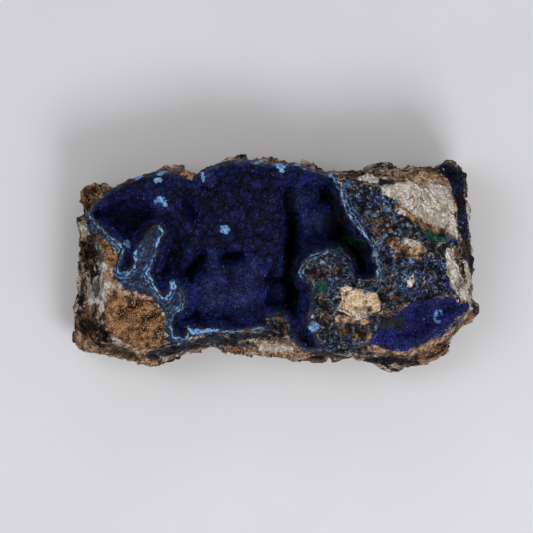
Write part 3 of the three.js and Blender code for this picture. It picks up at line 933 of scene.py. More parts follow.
class SocketKind(Enum):
    """Kinds of group input and output."""

    NUMBER = "NodeSocketFloat"
    WHOLE = "NodeSocketInt"
    PLACE = "NodeSocketVector"
    SHAPE = "NodeSocketGeometry"
    FINISH = "NodeSocketMaterial"


class Effect:
    """A node group with named inputs and outputs, built once and placed with its own values."""

    def __init__(self, name: str, inputs: dict[str, SocketKind], output: str,
                 kind: str = "ShaderNodeTree") -> None:
        """Makes the empty group.

        Args:
            name: the group's name.
            inputs: kind of each input, by name.
            output: name of its one output.
            kind: type of the node tree.
        """
        self.tree = bpy.data.node_groups.new(name, kind)
        for label, socket in inputs.items():
            self.tree.interface.new_socket(label, in_out="INPUT", socket_type=socket.value)
        out_kind = SocketKind.SHAPE if kind == "GeometryNodeTree" else SocketKind.NUMBER
        self.tree.interface.new_socket(output, in_out="OUTPUT", socket_type=out_kind.value)
        self.graph = Graph(self.tree)
        self.given = self.graph.add("NodeGroupInput").outputs
        self.result = self.graph.add("NodeGroupOutput").inputs[0]

    def place_in(self, graph: Graph, *values: object) -> bpy.types.NodeSocket:
        """Places the group in a material's graph and returns its output."""
        node = graph.add("ShaderNodeGroup")
        node.node_tree = self.tree
        for socket, value in zip(node.inputs, values):
            graph.feed(socket, value)
        return node.outputs[0]


def place_effect(name: str, output: str, *numbers: str) -> tuple[Effect, Graph, object]:
    """Empty effect that takes a place and some numbers.

    Args:
        name: the effect's name.
        output: name of its output.
        numbers: names of its number inputs.

    Returns:
        The effect, its graph and its inputs.
    """
    inputs = {"Place": SocketKind.PLACE} | {label: SocketKind.NUMBER for label in numbers}
    effect = Effect(name, inputs, output)
    return effect, effect.graph, effect.given


class Effects:
    """Surface effects that several finishes share."""

    def __init__(self) -> None:
        """Builds each effect once."""
        self.ragged = self.ragged_edge()
        self.bands = self.growth_bands()
        self.specks = self.scattered_specks()
        self.grains = self.packed_grains()
        self.net = self.crooked_net()
        self.curls = self.curled_lines()
        self.relief = self.stony_relief()

    @staticmethod
    def ragged_edge() -> Effect:
        """Mask of a zone from the distance inside it, with a ragged edge."""
        labels = ("Distance", "Softness", "Raggedness", "Size")
        effect, graph, given = place_effect("ragged_edge", "Mask", *labels)
        noise = graph.maths("SUBTRACT", graph.noise(given["Place"], given["Size"], 4, 3.1), 0.5)
        shifted = graph.maths("MULTIPLY_ADD", noise, given["Raggedness"], given["Distance"])
        softness = given["Softness"]
        graph.feed(effect.result, graph.ease(shifted, graph.maths("MULTIPLY", softness, -1), softness))
        return effect

    @staticmethod
    def growth_bands() -> Effect:
        """Mask of thin lines that follow a distance at even spacing, with a waver."""
        effect, graph, given = place_effect("growth_bands", "Mask", "Distance", "Spacing", "Waver", "Width")
        noise = graph.maths("SUBTRACT", graph.noise(given["Place"], 1.3, 6, 8.2), 0.5)
        shifted = graph.maths("MULTIPLY_ADD", noise, given["Waver"], given["Distance"])
        off = graph.off_line(graph.maths("DIVIDE", shifted, given["Spacing"]))
        outer = graph.maths("MULTIPLY", given["Width"], 1.6)
        inner = graph.maths("MULTIPLY", given["Width"], 0.6)
        graph.feed(effect.result, graph.ease(off, outer, inner))
        return effect

    @staticmethod
    def curled_lines() -> Effect:
        """Mask of thin lines that curl round lumps of a size."""
        effect, graph, given = place_effect("curled_lines", "Mask", "Size", "Turns", "Width", "Seed")
        lumps = graph.noise(given["Place"], given["Size"], 1.2, given["Seed"])
        off = graph.off_line(graph.maths("MULTIPLY", lumps, given["Turns"]))
        graph.feed(effect.result, graph.ease(off, given["Width"], 0.0))
        return effect

    @staticmethod
    def scattered_specks() -> Effect:
        """Mask of scattered round specks, a share of the cells of a size."""
        effect, graph, given = place_effect("scattered_specks", "Mask", "Size", "Share")
        node = graph.cells(given["Place"], given["Size"])
        pick = graph.add("ShaderNodeSeparateColor", node.outputs["Color"]).outputs[0]
        chosen = graph.maths("LESS_THAN", pick, given["Share"])
        spot = graph.ease(node.outputs["Distance"], 0.5, 0.3)
        graph.feed(effect.result, graph.maths("MULTIPLY", chosen, spot))
        return effect

    @staticmethod
    def packed_grains() -> Effect:
        """Mask of a share of closely packed grains of a size, with sharp ragged edges."""
        effect, graph, given = place_effect("packed_grains", "Mask", "Size", "Share")
        node = graph.cells(graph.swayed(given["Place"], 0.6, 0.7), given["Size"])
        pick = graph.add("ShaderNodeSeparateColor", node.outputs["Color"]).outputs[0]
        graph.feed(effect.result, graph.maths("LESS_THAN", pick, given["Share"]))
        return effect

    @staticmethod
    def crooked_net() -> Effect:
        """Mask of the thin crooked lines between closely packed lumps of a size."""
        effect, graph, given = place_effect("crooked_net", "Mask", "Size", "Width")
        crooked = graph.swayed(given["Place"], 1.8, 2.6)
        node = graph.cells(crooked, given["Size"], feature="DISTANCE_TO_EDGE")
        off = graph.maths("MULTIPLY", node.outputs["Distance"], given["Size"])
        graph.feed(effect.result, graph.ease(off, given["Width"], 0.0))
        return effect

    @staticmethod
    def stony_relief() -> Effect:
        """Height of a granular broken surface."""
        effect, graph, given = place_effect("stony_relief", "Height", "Size")
        coarse = graph.noise(given["Place"], given["Size"], 5, 1.7)
        node = graph.cells(given["Place"], graph.maths("DIVIDE", given["Size"], 1.3))
        graph.feed(effect.result, graph.maths("MULTIPLY_ADD", node.outputs["Distance"], -0.5, coarse))
        return effect


def paint(red: int, green: int, blue: int) -> Colour:
    """Linear colour from display values between 0 and 255."""
    shares = (value / 255 for value in (red, green, blue))
    linear = [share / 12.92 if share <= 0.04045 else ((share + 0.055) / 1.055) ** 2.4 for share in shares]
    return (*linear, 1.0)


def new_material(name: str) -> tuple[bpy.types.Material, Graph, bpy.types.Node]:
    """Empty material.

    Args:
        name: the material's name.

    Returns:
        The material, its graph and its Principled BSDF.
    """
    material = bpy.data.materials.new(name)
    material.use_nodes = True
    shader = material.node_tree.nodes["Principled BSDF"]
    return material, Graph(material.node_tree), shader


def add_bump(graph: Graph, shader: bpy.types.Node, height: object, strength: float, depth: float) -> None:
    """Feeds a height into a shader's normal; depth is in millimetres."""
    values = {"Strength": strength, "Distance": depth * UNIT, "Height": height}
    node = graph.fill(graph.add("ShaderNodeBump"), values)
    graph.feed(shader.inputs["Normal"], node.outputs["Normal"])


@dataclass(frozen=True)
class Look:
    """Colours of a zone of the rock, and how ragged its edge is."""

    dark: Colour
    light: Colour
    size: float = 1.0
    softness: float = 0.25
    raggedness: float = 1.6


# Each zone is painted over the ones before it; the royal one only tints the blue ground.
ZONE_LOOKS: dict[Zone, Look] = {
    Zone.BLUE: Look(paint(16, 20, 44), paint(50, 62, 98), 0.8, 0.4, 2.6),
    Zone.IRON: Look(paint(44, 27, 18), paint(160, 104, 66), 0.8, 0.5, 2.6),
    Zone.TAN: Look(paint(80, 46, 26), paint(190, 142, 98), 1.4, 0.3, 2.0),
    Zone.PINK: Look(paint(112, 78, 56), paint(216, 180, 150), 1.0, 0.3, 3.4),
    Zone.SLATE: Look(paint(6, 7, 13), paint(58, 62, 78), 0.7, 0.25, 2.4),
    Zone.PEACH: Look(paint(206, 172, 136), paint(240, 216, 184), 1.2, 0.15, 1.4),
    Zone.CALCITE: Look(paint(188, 176, 164), paint(240, 234, 226), 0.9, 0.15, 2.2),
    Zone.MANGANESE: Look(paint(7, 6, 9), paint(22, 18, 20), 0.8, 0.15, 6.0),
    Zone.MALACHITE: Look(paint(8, 34, 34), paint(44, 100, 84), 0.4, 0.2, 2.2),
    Zone.SKY: Look(paint(84, 128, 190), paint(136, 182, 230), 0.4, 0.15, 1.0),
}


@dataclass(frozen=True)
class RockFinish:
    """Iron-stained rock with its veins, stains and mineral specks."""

    brown: Colour = paint(84, 58, 42)
    tan: Colour = paint(172, 136, 108)
    grey: Colour = paint(130, 119, 114)
    rust: Colour = paint(132, 74, 42)
    chalk: Colour = paint(220, 204, 190)
    cream: Colour = paint(190, 172, 138)
    sky: Colour = paint(104, 150, 206)
    haze: Colour = paint(66, 92, 132)
    frost: Colour = paint(150, 172, 184)
    royal: Colour = paint(34, 46, 128)
    navy: Colour = paint(12, 16, 46)
    umber: Colour = paint(80, 58, 36)
    moss: Colour = paint(44, 60, 48)
    soot: Colour = paint(46, 38, 32)
    black: Colour = paint(8, 7, 10)

    def matrix(self, graph: Graph, place: object, effects: Effects) -> bpy.types.NodeSocket:
        """Colour of the plain rock between the zones: thin layers that follow the block's sides."""
        layers = graph.add("ShaderNodeMapping", place)
        layers.inputs["Scale"].default_value = (0.3, 0.5, 1.0)
        strata = graph.noise(layers.outputs[0], 3.2, 4, 5.0)
        base = graph.blend(graph.ease(strata, 0.4, 0.6), self.brown, self.tan)
        base = graph.blend(graph.mottle(place, 7, 3, 1.0, 0.5, 0.62), base, self.grey)
        base = graph.blend(graph.mottle(place, 4, 4, 2.0, 0.55, 0.66), base, self.rust)
        base = graph.over(base, self.chalk, self.layer(graph, place, 2.4, 0.3, 31.0), 0.85)
        base = graph.blend(self.layer(graph, place, 1.5, 0.2, 34.0), base, self.black)
        dark = effects.specks.place_in(graph, place, 0.9, 0.16)
        return graph.over(base, self.black, dark, 0.75)

    @staticmethod
    def layer(graph: Graph, place: object, spacing: float, width: float, seed: float) -> bpy.types.NodeSocket:
        """Mask of broken lines that follow the block's sides."""
        sway = graph.maths("MULTIPLY_ADD", graph.noise(place, 3.4, 3, seed), 4.0, graph.attribute("flank"))
        line = graph.ease(graph.off_line(graph.maths("DIVIDE", sway, spacing)), width, width * 0.4)
        return graph.maths("MULTIPLY", line, graph.mottle(place, 2.6, 3, seed + 1, 0.45, 0.52))

    def blue_ground(self, graph: Graph, place: object, effects: Effects,
                    ground: object) -> bpy.types.NodeSocket:
        """Colour of the grainy mixture of azurite and iron ore, whose lumps have thin pale rims."""
        colour = ground
        tints = ((2.6, 0.48, self.umber, 41.0), (1.8, 0.53, self.navy, 42.0), (1.3, 0.6, self.haze, 43.0),
                 (1.2, 0.58, self.cream, 44.0), (2.2, 0.58, self.moss, 45.0))
        for size, level, tint, seed in tints:
            chosen = graph.mottle(place, size, 3, seed, level, level + 0.05, 0, 0.85)
            colour = graph.blend(chosen, colour, tint)
        royal = effects.ragged.place_in(graph, place, graph.attribute(Zone.ROYAL.value), 0.5, 4.0, 1.5)
        azure = graph.blend(graph.mottle(place, 0.9, 3, 40.0, 0.4, 0.6), self.navy, self.royal)
        colour = graph.over(colour, azure, royal, 0.85)
        dark = graph.mottle(place, 1.5, 4, 4.0, 0.48, 0.4, 0, 0.95)
        colour = graph.blend(dark, colour, self.black)
        return self.curled(graph, place, effects, colour)

    def curled(self, graph: Graph, place: object, effects: Effects, colour: object) -> bpy.types.NodeSocket:
        """Colour with the pale rims and black gaps of closely packed lumps drawn over it."""
        broken = graph.mottle(place, 1.2, 2, 10.0, 0.42, 0.52, 0.1, 1.0)
        bright = graph.maths("MULTIPLY", graph.mottle(place, 2.4, 3, 9.0, 0.4, 0.56), broken)
        curls = effects.curls.place_in(graph, place, 3.0, 8.0, 0.27, 46.0)
        tint = graph.blend(graph.mottle(place, 1.1, 2, 11.0, 0.42, 0.58), self.sky, self.frost)
        tint = graph.blend(graph.mottle(place, 1.9, 3, 13.0, 0.42, 0.6, 0.75, 0.0), tint, self.haze)
        colour = graph.over(colour, tint, curls, bright)
        rims = graph.maths("MULTIPLY", effects.net.place_in(graph, place, 2.6, 0.3), bright)
        colour = graph.blend(rims, colour, tint)
        pale = graph.maths("MULTIPLY", effects.curls.place_in(graph, place, 2.4, 7.0, 0.2, 47.0), 0.75)
        faint = graph.maths("MULTIPLY", broken, graph.ease(bright, 0.6, 0.2))
        colour = graph.over(colour, self.cream, pale, faint)
        gaps = effects.curls.place_in(graph, place, 2.0, 5.0, 0.28, 48.0)
        colour = graph.over(colour, self.black, gaps, 0.92)
        pits = graph.mottle(place, 2.2, 3, 49.0, 0.46, 0.38, 0, 0.9)
        return graph.blend(pits, colour, self.black)

    def calcite(self, graph: Graph, place: object, effects: Effects) -> bpy.types.NodeSocket:
        """Colour of the fibrous calcite, with brown wisps and dark threads along its fibres."""
        lay = graph.add("ShaderNodeMapping", graph.swayed(place, 5.0, 2.2), vector_type="TEXTURE")
        lay.inputs["Rotation"].default_value = (0, 0, -0.95)
        lay.inputs["Scale"].default_value = (5.0, 1.0, 1.5)
        along = lay.outputs[0]
        look = ZONE_LOOKS[Zone.CALCITE]
        colour = graph.blend(graph.mottle(along, 0.9, 4, 14.0, 0.4, 0.6), look.dark, look.light)
        colour = graph.blend(graph.mottle(along, 0.6, 3, 15.0, 0.46, 0.36, 0, 0.8), colour, self.grey)
        colour = graph.blend(graph.mottle(along, 1.6, 4, 16.0, 0.55, 0.64, 0, 0.6), colour, self.tan)
        colour = graph.blend(graph.mottle(place, 3.4, 3, 19.0, 0.5, 0.62, 0, 0.55), colour, self.cream)
        threads = effects.curls.place_in(graph, along, 2.2, 6.0, 0.1, 17.0)
        share = graph.maths("MULTIPLY", threads, graph.mottle(place, 3.0, 3, 18.0, 0.46, 0.64, 0, 0.7))
        return graph.blend(share, colour, self.brown)

    def build(self, effects: Effects) -> bpy.types.Material:
        """Makes the rock's material."""
        material, graph, shader = new_material("iron_stained_rock")
        place = graph.millimetres()
        colour = self.matrix(graph, place, effects)
        fine = graph.noise(place, 0.5, 3, 12.0)
        flattened = graph.add("ShaderNodeMapping", place)
        flattened.inputs["Scale"].default_value = (1.0, 1.0, 0.45)
        plan = flattened.outputs[0]
        for zone, look in ZONE_LOOKS.items():
            grain = graph.mottle(plan, look.size, 4, 20.0 + look.size, 0.36, 0.64)
            ground = graph.blend(grain, look.dark, look.light)
            if zone is Zone.BLUE:
                ground = self.blue_ground(graph, plan, effects, ground)
            if zone is Zone.IRON:
                mixed = self.curled(graph, plan, effects, graph.blend(0.6, ground, self.soot))
                ground = graph.blend(graph.ease(graph.attribute("blue"), 0, 0.4), ground, mixed)
            if zone is Zone.SLATE:
                ground = graph.blend(self.layer(graph, place, 1.1, 0.24, 36.0), ground, self.black)
                ground = graph.blend(self.layer(graph, place, 1.9, 0.16, 38.0), ground, self.grey)
            if zone is Zone.CALCITE:
                ground = self.calcite(graph, place, effects)
            mask = effects.ragged.place_in(
                graph, plan, graph.attribute(zone.value), look.softness, look.raggedness, look.size * 1.6)
            if zone is Zone.MANGANESE:
                mask = graph.maths("MULTIPLY", mask, effects.grains.place_in(graph, plan, 1.0, 0.6))
            colour = graph.blend(mask, colour, ground)
        rim = graph.attribute("rim")
        lines = effects.bands.place_in(graph, place, graph.attribute("edge"), 0.9, 2.2, 0.11)
        lines = graph.maths("MULTIPLY", lines, graph.ease(graph.attribute("blue"), -0.6, 0.3, 0.15, 1.0))
        colour = graph.over(colour, self.sky, lines, rim)
        cracks = effects.net.place_in(graph, graph.shifted(place, 30.0), 5.0, 0.24)
        cracks = graph.maths("MULTIPLY", cracks, graph.mottle(place, 3.6, 3, 52.0, 0.44, 0.54, 0, 0.8))
        colour = graph.blend(cracks, colour, self.black)
        colour = graph.shaded(colour, graph.ease(fine, 0.34, 0.66, 0.48, 1.28))
        # Painted shade: darker where the broken surface sinks below the smooth block.
        hollow = graph.ease(graph.attribute("relief"), -0.75, 0.05, 0.16, 1.0)
        colour = graph.shaded(colour, hollow)
        graph.feed(shader.inputs["Base Color"], colour)
        graph.feed(shader.inputs["Roughness"], graph.ease(fine, 0.3, 0.7, 0.92, 0.7))
        shader.inputs["Specular IOR Level"].default_value = 0.2
        add_bump(graph, shader, effects.relief.place_in(graph, place, 0.7), 0.9, 0.35)
        return material


@dataclass(frozen=True)
class AzuriteFinish:
    """Dark azurite skin under its druse, with the pale bands of its broken rim."""

    name: str = "azurite_skin"
    deep: Colour = paint(4, 5, 20)
    blue: Colour = paint(18, 27, 72)
    painted_sheen: Colour = paint(44, 54, 90)
    section: Colour = paint(38, 61, 106)
    section_dark: Colour = paint(10, 17, 44)
    stain: Colour = paint(72, 66, 58)
    green: Colour = paint(48, 86, 76)
    dull: Colour = paint(42, 46, 54)
    haze: Colour = paint(78, 118, 176)
    crust: Colour = paint(84, 64, 50)
    sky: Colour = paint(132, 184, 236)

    def rim(self, graph: Graph, place: object, effects: Effects) -> bpy.types.NodeSocket:
        """Colour of the broken rim: mottled, with pale growth lines that come and go."""
        ground = graph.blend(graph.mottle(place, 0.8, 4, 5.0, 0.42, 0.58), self.section_dark, self.section)
        stains = graph.mottle(place, 1.5, 4, 6.0, 0.55, 0.6, 0, 0.8)
        ground = graph.blend(stains, ground, self.stain)
        gaps = effects.curls.place_in(graph, place, 1.3, 6.0, 0.2, 7.0)
        ground = graph.over(ground, self.deep, gaps, 0.9)
        net = effects.net.place_in(graph, place, 1.6, 0.2)
        ground = graph.over(ground, self.deep, net, 0.8)
        inside = graph.attribute("hollow")
        specks = effects.specks.place_in(graph, place, 0.55, 0.14)
        ground = graph.blend(graph.maths("MULTIPLY", specks, graph.attribute("rim")), ground, self.haze)
        width = graph.mottle(place, 1.9, 3, 15.0, 0.36, 0.66, 0.03, 0.3)
        lines = effects.bands.place_in(graph, place, inside, 1.0, 2.3, width)
        broken = graph.mottle(place, 1.2, 3, 14.0, 0.43, 0.56, 0.15, 1.0)
        near = graph.ease(inside, -1.7, -0.9, 0.22, 1.0)
        strength = graph.maths("MULTIPLY", graph.maths("MULTIPLY", graph.attribute("rim"), broken), near)
        return graph.over(ground, self.sky, lines, strength)

    def build(self, effects: Effects) -> bpy.types.Material:
        """Makes the material."""
        material, graph, shader = new_material(self.name)
        place = graph.millimetres()
        fine = graph.noise(place, 0.32, 3, 2.0)
        # Painted shade: the "dome" number darkens the blue in creases, in the depths and under painted
        # shadow; a painted sheen lightens the crowns.
        velvet = graph.blend(graph.ease(graph.attribute("dome"), 0.2, 0.95), self.deep, self.blue)
        velvet = graph.blend(graph.maths("MULTIPLY", graph.attribute("painted_sheen"), 0.75), velvet, self.painted_sheen)
        velvet = graph.shaded(velvet, graph.ease(fine, 0.3, 0.7, 0.45, 1.6))
        mossy = graph.mottle(place, 1.1, 4, 24.0, 0.44, 0.54)
        velvet = graph.blend(graph.maths("MULTIPLY", graph.attribute("green"), mossy), velvet, self.green)
        velvet = graph.blend(graph.attribute("dull"), velvet, self.dull)
        mask = effects.ragged.place_in(graph, place, graph.attribute("hollow"), 0.1, 0.8, 0.8)
        colour = graph.blend(mask, self.rim(graph, place, effects), velvet)
        crusted = graph.mottle(place, 2.2, 4, 21.0, 0.42, 0.52)
        crusted = graph.maths("MULTIPLY", crusted, graph.attribute("outer"))
        colour = graph.blend(crusted, colour, self.crust)
        spots = effects.ragged.place_in(graph, place, graph.attribute("spot"), 0.05, 2.2, 0.7)
        core = graph.mottle(place, 0.45, 3, 23.0, 0.36, 0.54)
        colour = graph.blend(spots, colour, graph.blend(core, self.section, self.sky))
        graph.feed(shader.inputs["Base Color"], colour)
        graph.feed(shader.inputs["Roughness"], graph.ease(fine, 0.3, 0.7, 0.8, 0.5))
        shader.inputs["Specular IOR Level"].default_value = 0.3
        add_bump(graph, shader, effects.relief.place_in(graph, place, 0.35), 0.8, 0.15)
        return material


@dataclass(frozen=True)
class CrystalFinish:
    """Very small azurite crystals, each with its own depth of blue."""

    name: str
    deep: Colour
    bright: Colour
    painted_sheen: Colour
    palest: float = 1.25
    glint: Colour = paint(130, 150, 196)
    dull: Colour = paint(44, 48, 56)

    def build(self) -> bpy.types.Material:
        """Makes the material."""
        material, graph, shader = new_material(self.name)
        place = graph.millimetres()
        hue = graph.attribute("hue")
        colour = graph.blend(graph.ease(hue, 0.25, 1.0), self.deep, self.bright)
        # Painted sheen on the ball crowns and on upward faces.
        share = graph.maths("MULTIPLY", graph.attribute("painted_sheen"), graph.ease(hue, 0, 1, 0.1, 0.9))
        colour = graph.blend(share, colour, self.painted_sheen)
        colour = graph.blend(graph.ease(hue, 0.978, 0.99, 0, 0.5), colour, self.glint)
        patches = graph.mottle(place, 3.4, 3, 9.0, 0.38, 0.64, 0.7, self.palest)
        colour = graph.shaded(colour, patches)
        colour = graph.blend(graph.attribute("dull"), colour, self.dull)
        # Painted shade from the "dome" number: creases, depth and painted shadows.
        shade = graph.maths("MULTIPLY_ADD", graph.attribute("dome"), 1.25, 0.04)
        colour = graph.shaded(colour, shade)
        fine = graph.noise(place, 0.2, 2, 4.0)
        colour = graph.shaded(colour, graph.ease(fine, 0.3, 0.7, 0.7, 1.25))
        graph.feed(shader.inputs["Base Color"], colour)
        graph.feed(shader.inputs["Roughness"], graph.ease(fine, 0.3, 0.7, 0.5, 0.28))
        shader.inputs["Specular IOR Level"].default_value = 0.18
        add_bump(graph, shader, fine, 0.3, 0.05)
        return material


@dataclass(frozen=True)
class GrainFinish:
    """Loose-looking mineral grains, each with its own share of two colours."""

    name: str
    dark: Colour
    light: Colour
    rough: float = 0.8
    pale: Colour = paint(214, 186, 154)
    pale_share: float = 0.0

    def build(self) -> bpy.types.Material:
        """Makes the material."""
        material, graph, shader = new_material(self.name)
        place = graph.millimetres()
        fine = graph.noise(place, 0.3, 3, 7.0)
        patches = graph.mottle(place, 3.0, 4, 8.0, 0.38, 0.62, -0.45, 0.3)
        share = graph.maths("MULTIPLY_ADD", fine, 0.5, graph.maths("ADD", graph.attribute("hue"), patches))
        colour = graph.blend(graph.ease(share, 0, 1), self.dark, self.light)
        chosen = graph.maths("LESS_THAN", graph.attribute("hue"), self.pale_share)
        graph.feed(shader.inputs["Base Color"], graph.over(colour, self.pale, chosen, 0.8))
        graph.feed(shader.inputs["Roughness"], graph.ease(fine, 0.3, 0.7, self.rough, self.rough - 0.25))
        add_bump(graph, shader, fine, 0.6, 0.1)
        return material


VUG_DRUSE = CrystalFinish("azurite_druse", paint(12, 18, 68), paint(32, 46, 124), paint(64, 80, 126))
POCKET_DRUSE = CrystalFinish("bright_azurite", paint(8, 10, 42), paint(34, 40, 124), paint(52, 60, 104), 2.0)
SEAM_CRYSTALS = CrystalFinish("seam_azurite", paint(2, 3, 7), paint(10, 16, 46), paint(20, 30, 62), 3.5)
POCKET_SKIN = AzuriteFinish(
    "bright_skin", paint(8, 9, 40), paint(24, 28, 104), paint(44, 50, 96), paint(40, 50, 100),
    paint(14, 18, 48))
SEAM_SKIN = AzuriteFinish(
    "seam_skin", paint(3, 3, 8), paint(8, 11, 28), paint(22, 28, 50), paint(30, 40, 72), paint(6, 7, 14))
LIMONITE = GrainFinish("limonite", paint(74, 42, 24), paint(190, 142, 98), pale_share=0.12)
SPHERULES = GrainFinish("spherules", paint(12, 18, 48), paint(62, 86, 130), 0.6)
BLACK_ORE = GrainFinish("black_ore", paint(6, 5, 8), paint(30, 25, 27), 0.6)


class Scatter:
    """Geometry Nodes tree that grows small crystals or grains on a surface."""

    def __init__(self, name: str, sides: int, rings: int) -> None:
        """Builds the tree.

        Args:
            name: the tree's name.
            sides: how many faces go round each crystal.
            rings: how many rows of faces each crystal has.
        """
        number = SocketKind.NUMBER
        inputs = {
            "Surface": SocketKind.SHAPE, "Density": number, "Smallest": number, "Largest": number,
            "Stretch": number, "Tilt": number, "Seed": SocketKind.WHOLE, "Finish": SocketKind.FINISH,
        }
        effect = Effect(name, inputs, "Crystals", "GeometryNodeTree")
        graph, given = effect.graph, effect.given
        seed = given["Seed"]
        tilt = given["Tilt"]
        spread = graph.fill(graph.add("GeometryNodeDistributePointsOnFaces", distribute_method="RANDOM"), {
            "Mesh": given["Surface"], "Density": given["Density"], "Seed": seed})
        shape = graph.add("GeometryNodeMeshUVSphere", sides, rings, 0.5)
        turn = self.random_vector(graph, (tilt, tilt, np.pi), seed)
        aimed = graph.add(
            "FunctionNodeRotateRotation", spread.outputs["Rotation"], turn, rotation_space="LOCAL")
        size = self.random_number(graph, given["Smallest"], given["Largest"], seed, 1)
        stretch = graph.maths("MULTIPLY", size, given["Stretch"])
        narrow = graph.maths("MULTIPLY", size, self.random_number(graph, 0.55, 1.0, seed, 2))
        scale = graph.add("ShaderNodeCombineXYZ", size, narrow, stretch)
        grown = graph.fill(graph.add("GeometryNodeInstanceOnPoints"), {
            "Points": spread.outputs["Points"], "Instance": shape.outputs["Mesh"],
            "Rotation": aimed.outputs[0], "Scale": scale.outputs[0]})
        hue = self.random_number(graph, 0.0, 1.0, seed, 3)
        store = graph.add("GeometryNodeStoreNamedAttribute", data_type="FLOAT", domain="INSTANCE")
        kept = graph.fill(store, {"Geometry": grown.outputs[0], "Name": "hue", "Value": hue})
        real = graph.add("GeometryNodeRealizeInstances", kept.outputs[0])
        flat = graph.fill(graph.add("GeometryNodeSetShadeSmooth", real.outputs[0]), {"Shade Smooth": False})
        shading = graph.add("GeometryNodeSetMaterial", flat.outputs[0])
        coated = graph.fill(shading, {"Material": given["Finish"]})
        graph.feed(effect.result, coated.outputs[0])
        self.tree = effect.tree

    @staticmethod
    def random_number(graph: Graph, low: object, high: object, seed: object,
                      step: int) -> bpy.types.NodeSocket:
        """Random number for each crystal, a different one for each step."""
        node = graph.add("FunctionNodeRandomValue", data_type="FLOAT")
        graph.feed(node.inputs[2], low)
        graph.feed(node.inputs[3], high)
        graph.feed(node.inputs["Seed"], graph.maths("ADD", seed, float(step)))
        return node.outputs[1]

    @staticmethod
    def random_vector(graph: Graph, reach: tuple[object, object, float],
                      seed: object) -> bpy.types.NodeSocket:
        """Random turn for each crystal, up to a reach each way about each axis."""
        node = graph.add("FunctionNodeRandomValue", data_type="FLOAT_VECTOR")
        high = graph.add("ShaderNodeCombineXYZ", *reach)
        low = graph.add("ShaderNodeVectorMath", high.outputs[0], operation="SCALE")
        low.inputs["Scale"].default_value = -1
        graph.feed(node.inputs[0], low.outputs[0])
        graph.feed(node.inputs[1], high.outputs[0])
        graph.feed(node.inputs["Seed"], seed)
        return node.outputs[0]


@dataclass(frozen=True)
class Growth:
    """Small crystals or grains that cover part of a surface; sizes are in millimetres."""

    name: str
    slot: str
    density: float
    smallest: float
    largest: float
    stretch: float
    tilt: float
    seed: int

    def grow(self, surface: bpy.types.Mesh, scatter: Scatter, finish: bpy.types.Material) -> bpy.types.Object:
        """Grows them on a surface.

        Args:
            surface: the part of the surface that they cover.
            scatter: the tree that places them.
            finish: their material.

        Returns:
            The piece.
        """
        host = put(self.name + "_host", surface)
        modifier = host.modifiers.new("growth", "NODES")
        modifier.node_group = scatter.tree
        values = {
            "Density": self.density / UNIT**2, "Smallest": self.smallest * UNIT,
            "Largest": self.largest * UNIT, "Stretch": self.stretch, "Tilt": self.tilt, "Seed": self.seed,
            "Finish": finish,
        }
        for item in scatter.tree.interface.items_tree:
            if item.in_out == "INPUT" and item.name in values:
                modifier[item.identifier] = values[item.name]
        bpy.context.view_layer.update()
        ready = host.evaluated_get(bpy.context.evaluated_depsgraph_get())
        mesh = bpy.data.meshes.new_from_object(ready)
        mesh.name = self.name
        bpy.data.objects.remove(host)
        return show(self.name, mesh, self.slot)


def part_of(name: str, skin: Skin, chosen: Array, values: dict[str, Array]) -> bpy.types.Mesh:
    """Mesh of some of a surface's faces.

    Args:
        name: the mesh's name.
        skin: the surface.
        chosen: which of its faces to keep.
        values: numbers to keep at each point, by attribute name.

    Returns:
        The mesh.
    """
    used, faces = np.unique(skin.quads[chosen], return_inverse=True)
    kept = {key: numbers[used] for key, numbers in values.items()}
    return make_mesh(name, skin.points[used], faces.reshape(-1, 4), kept)


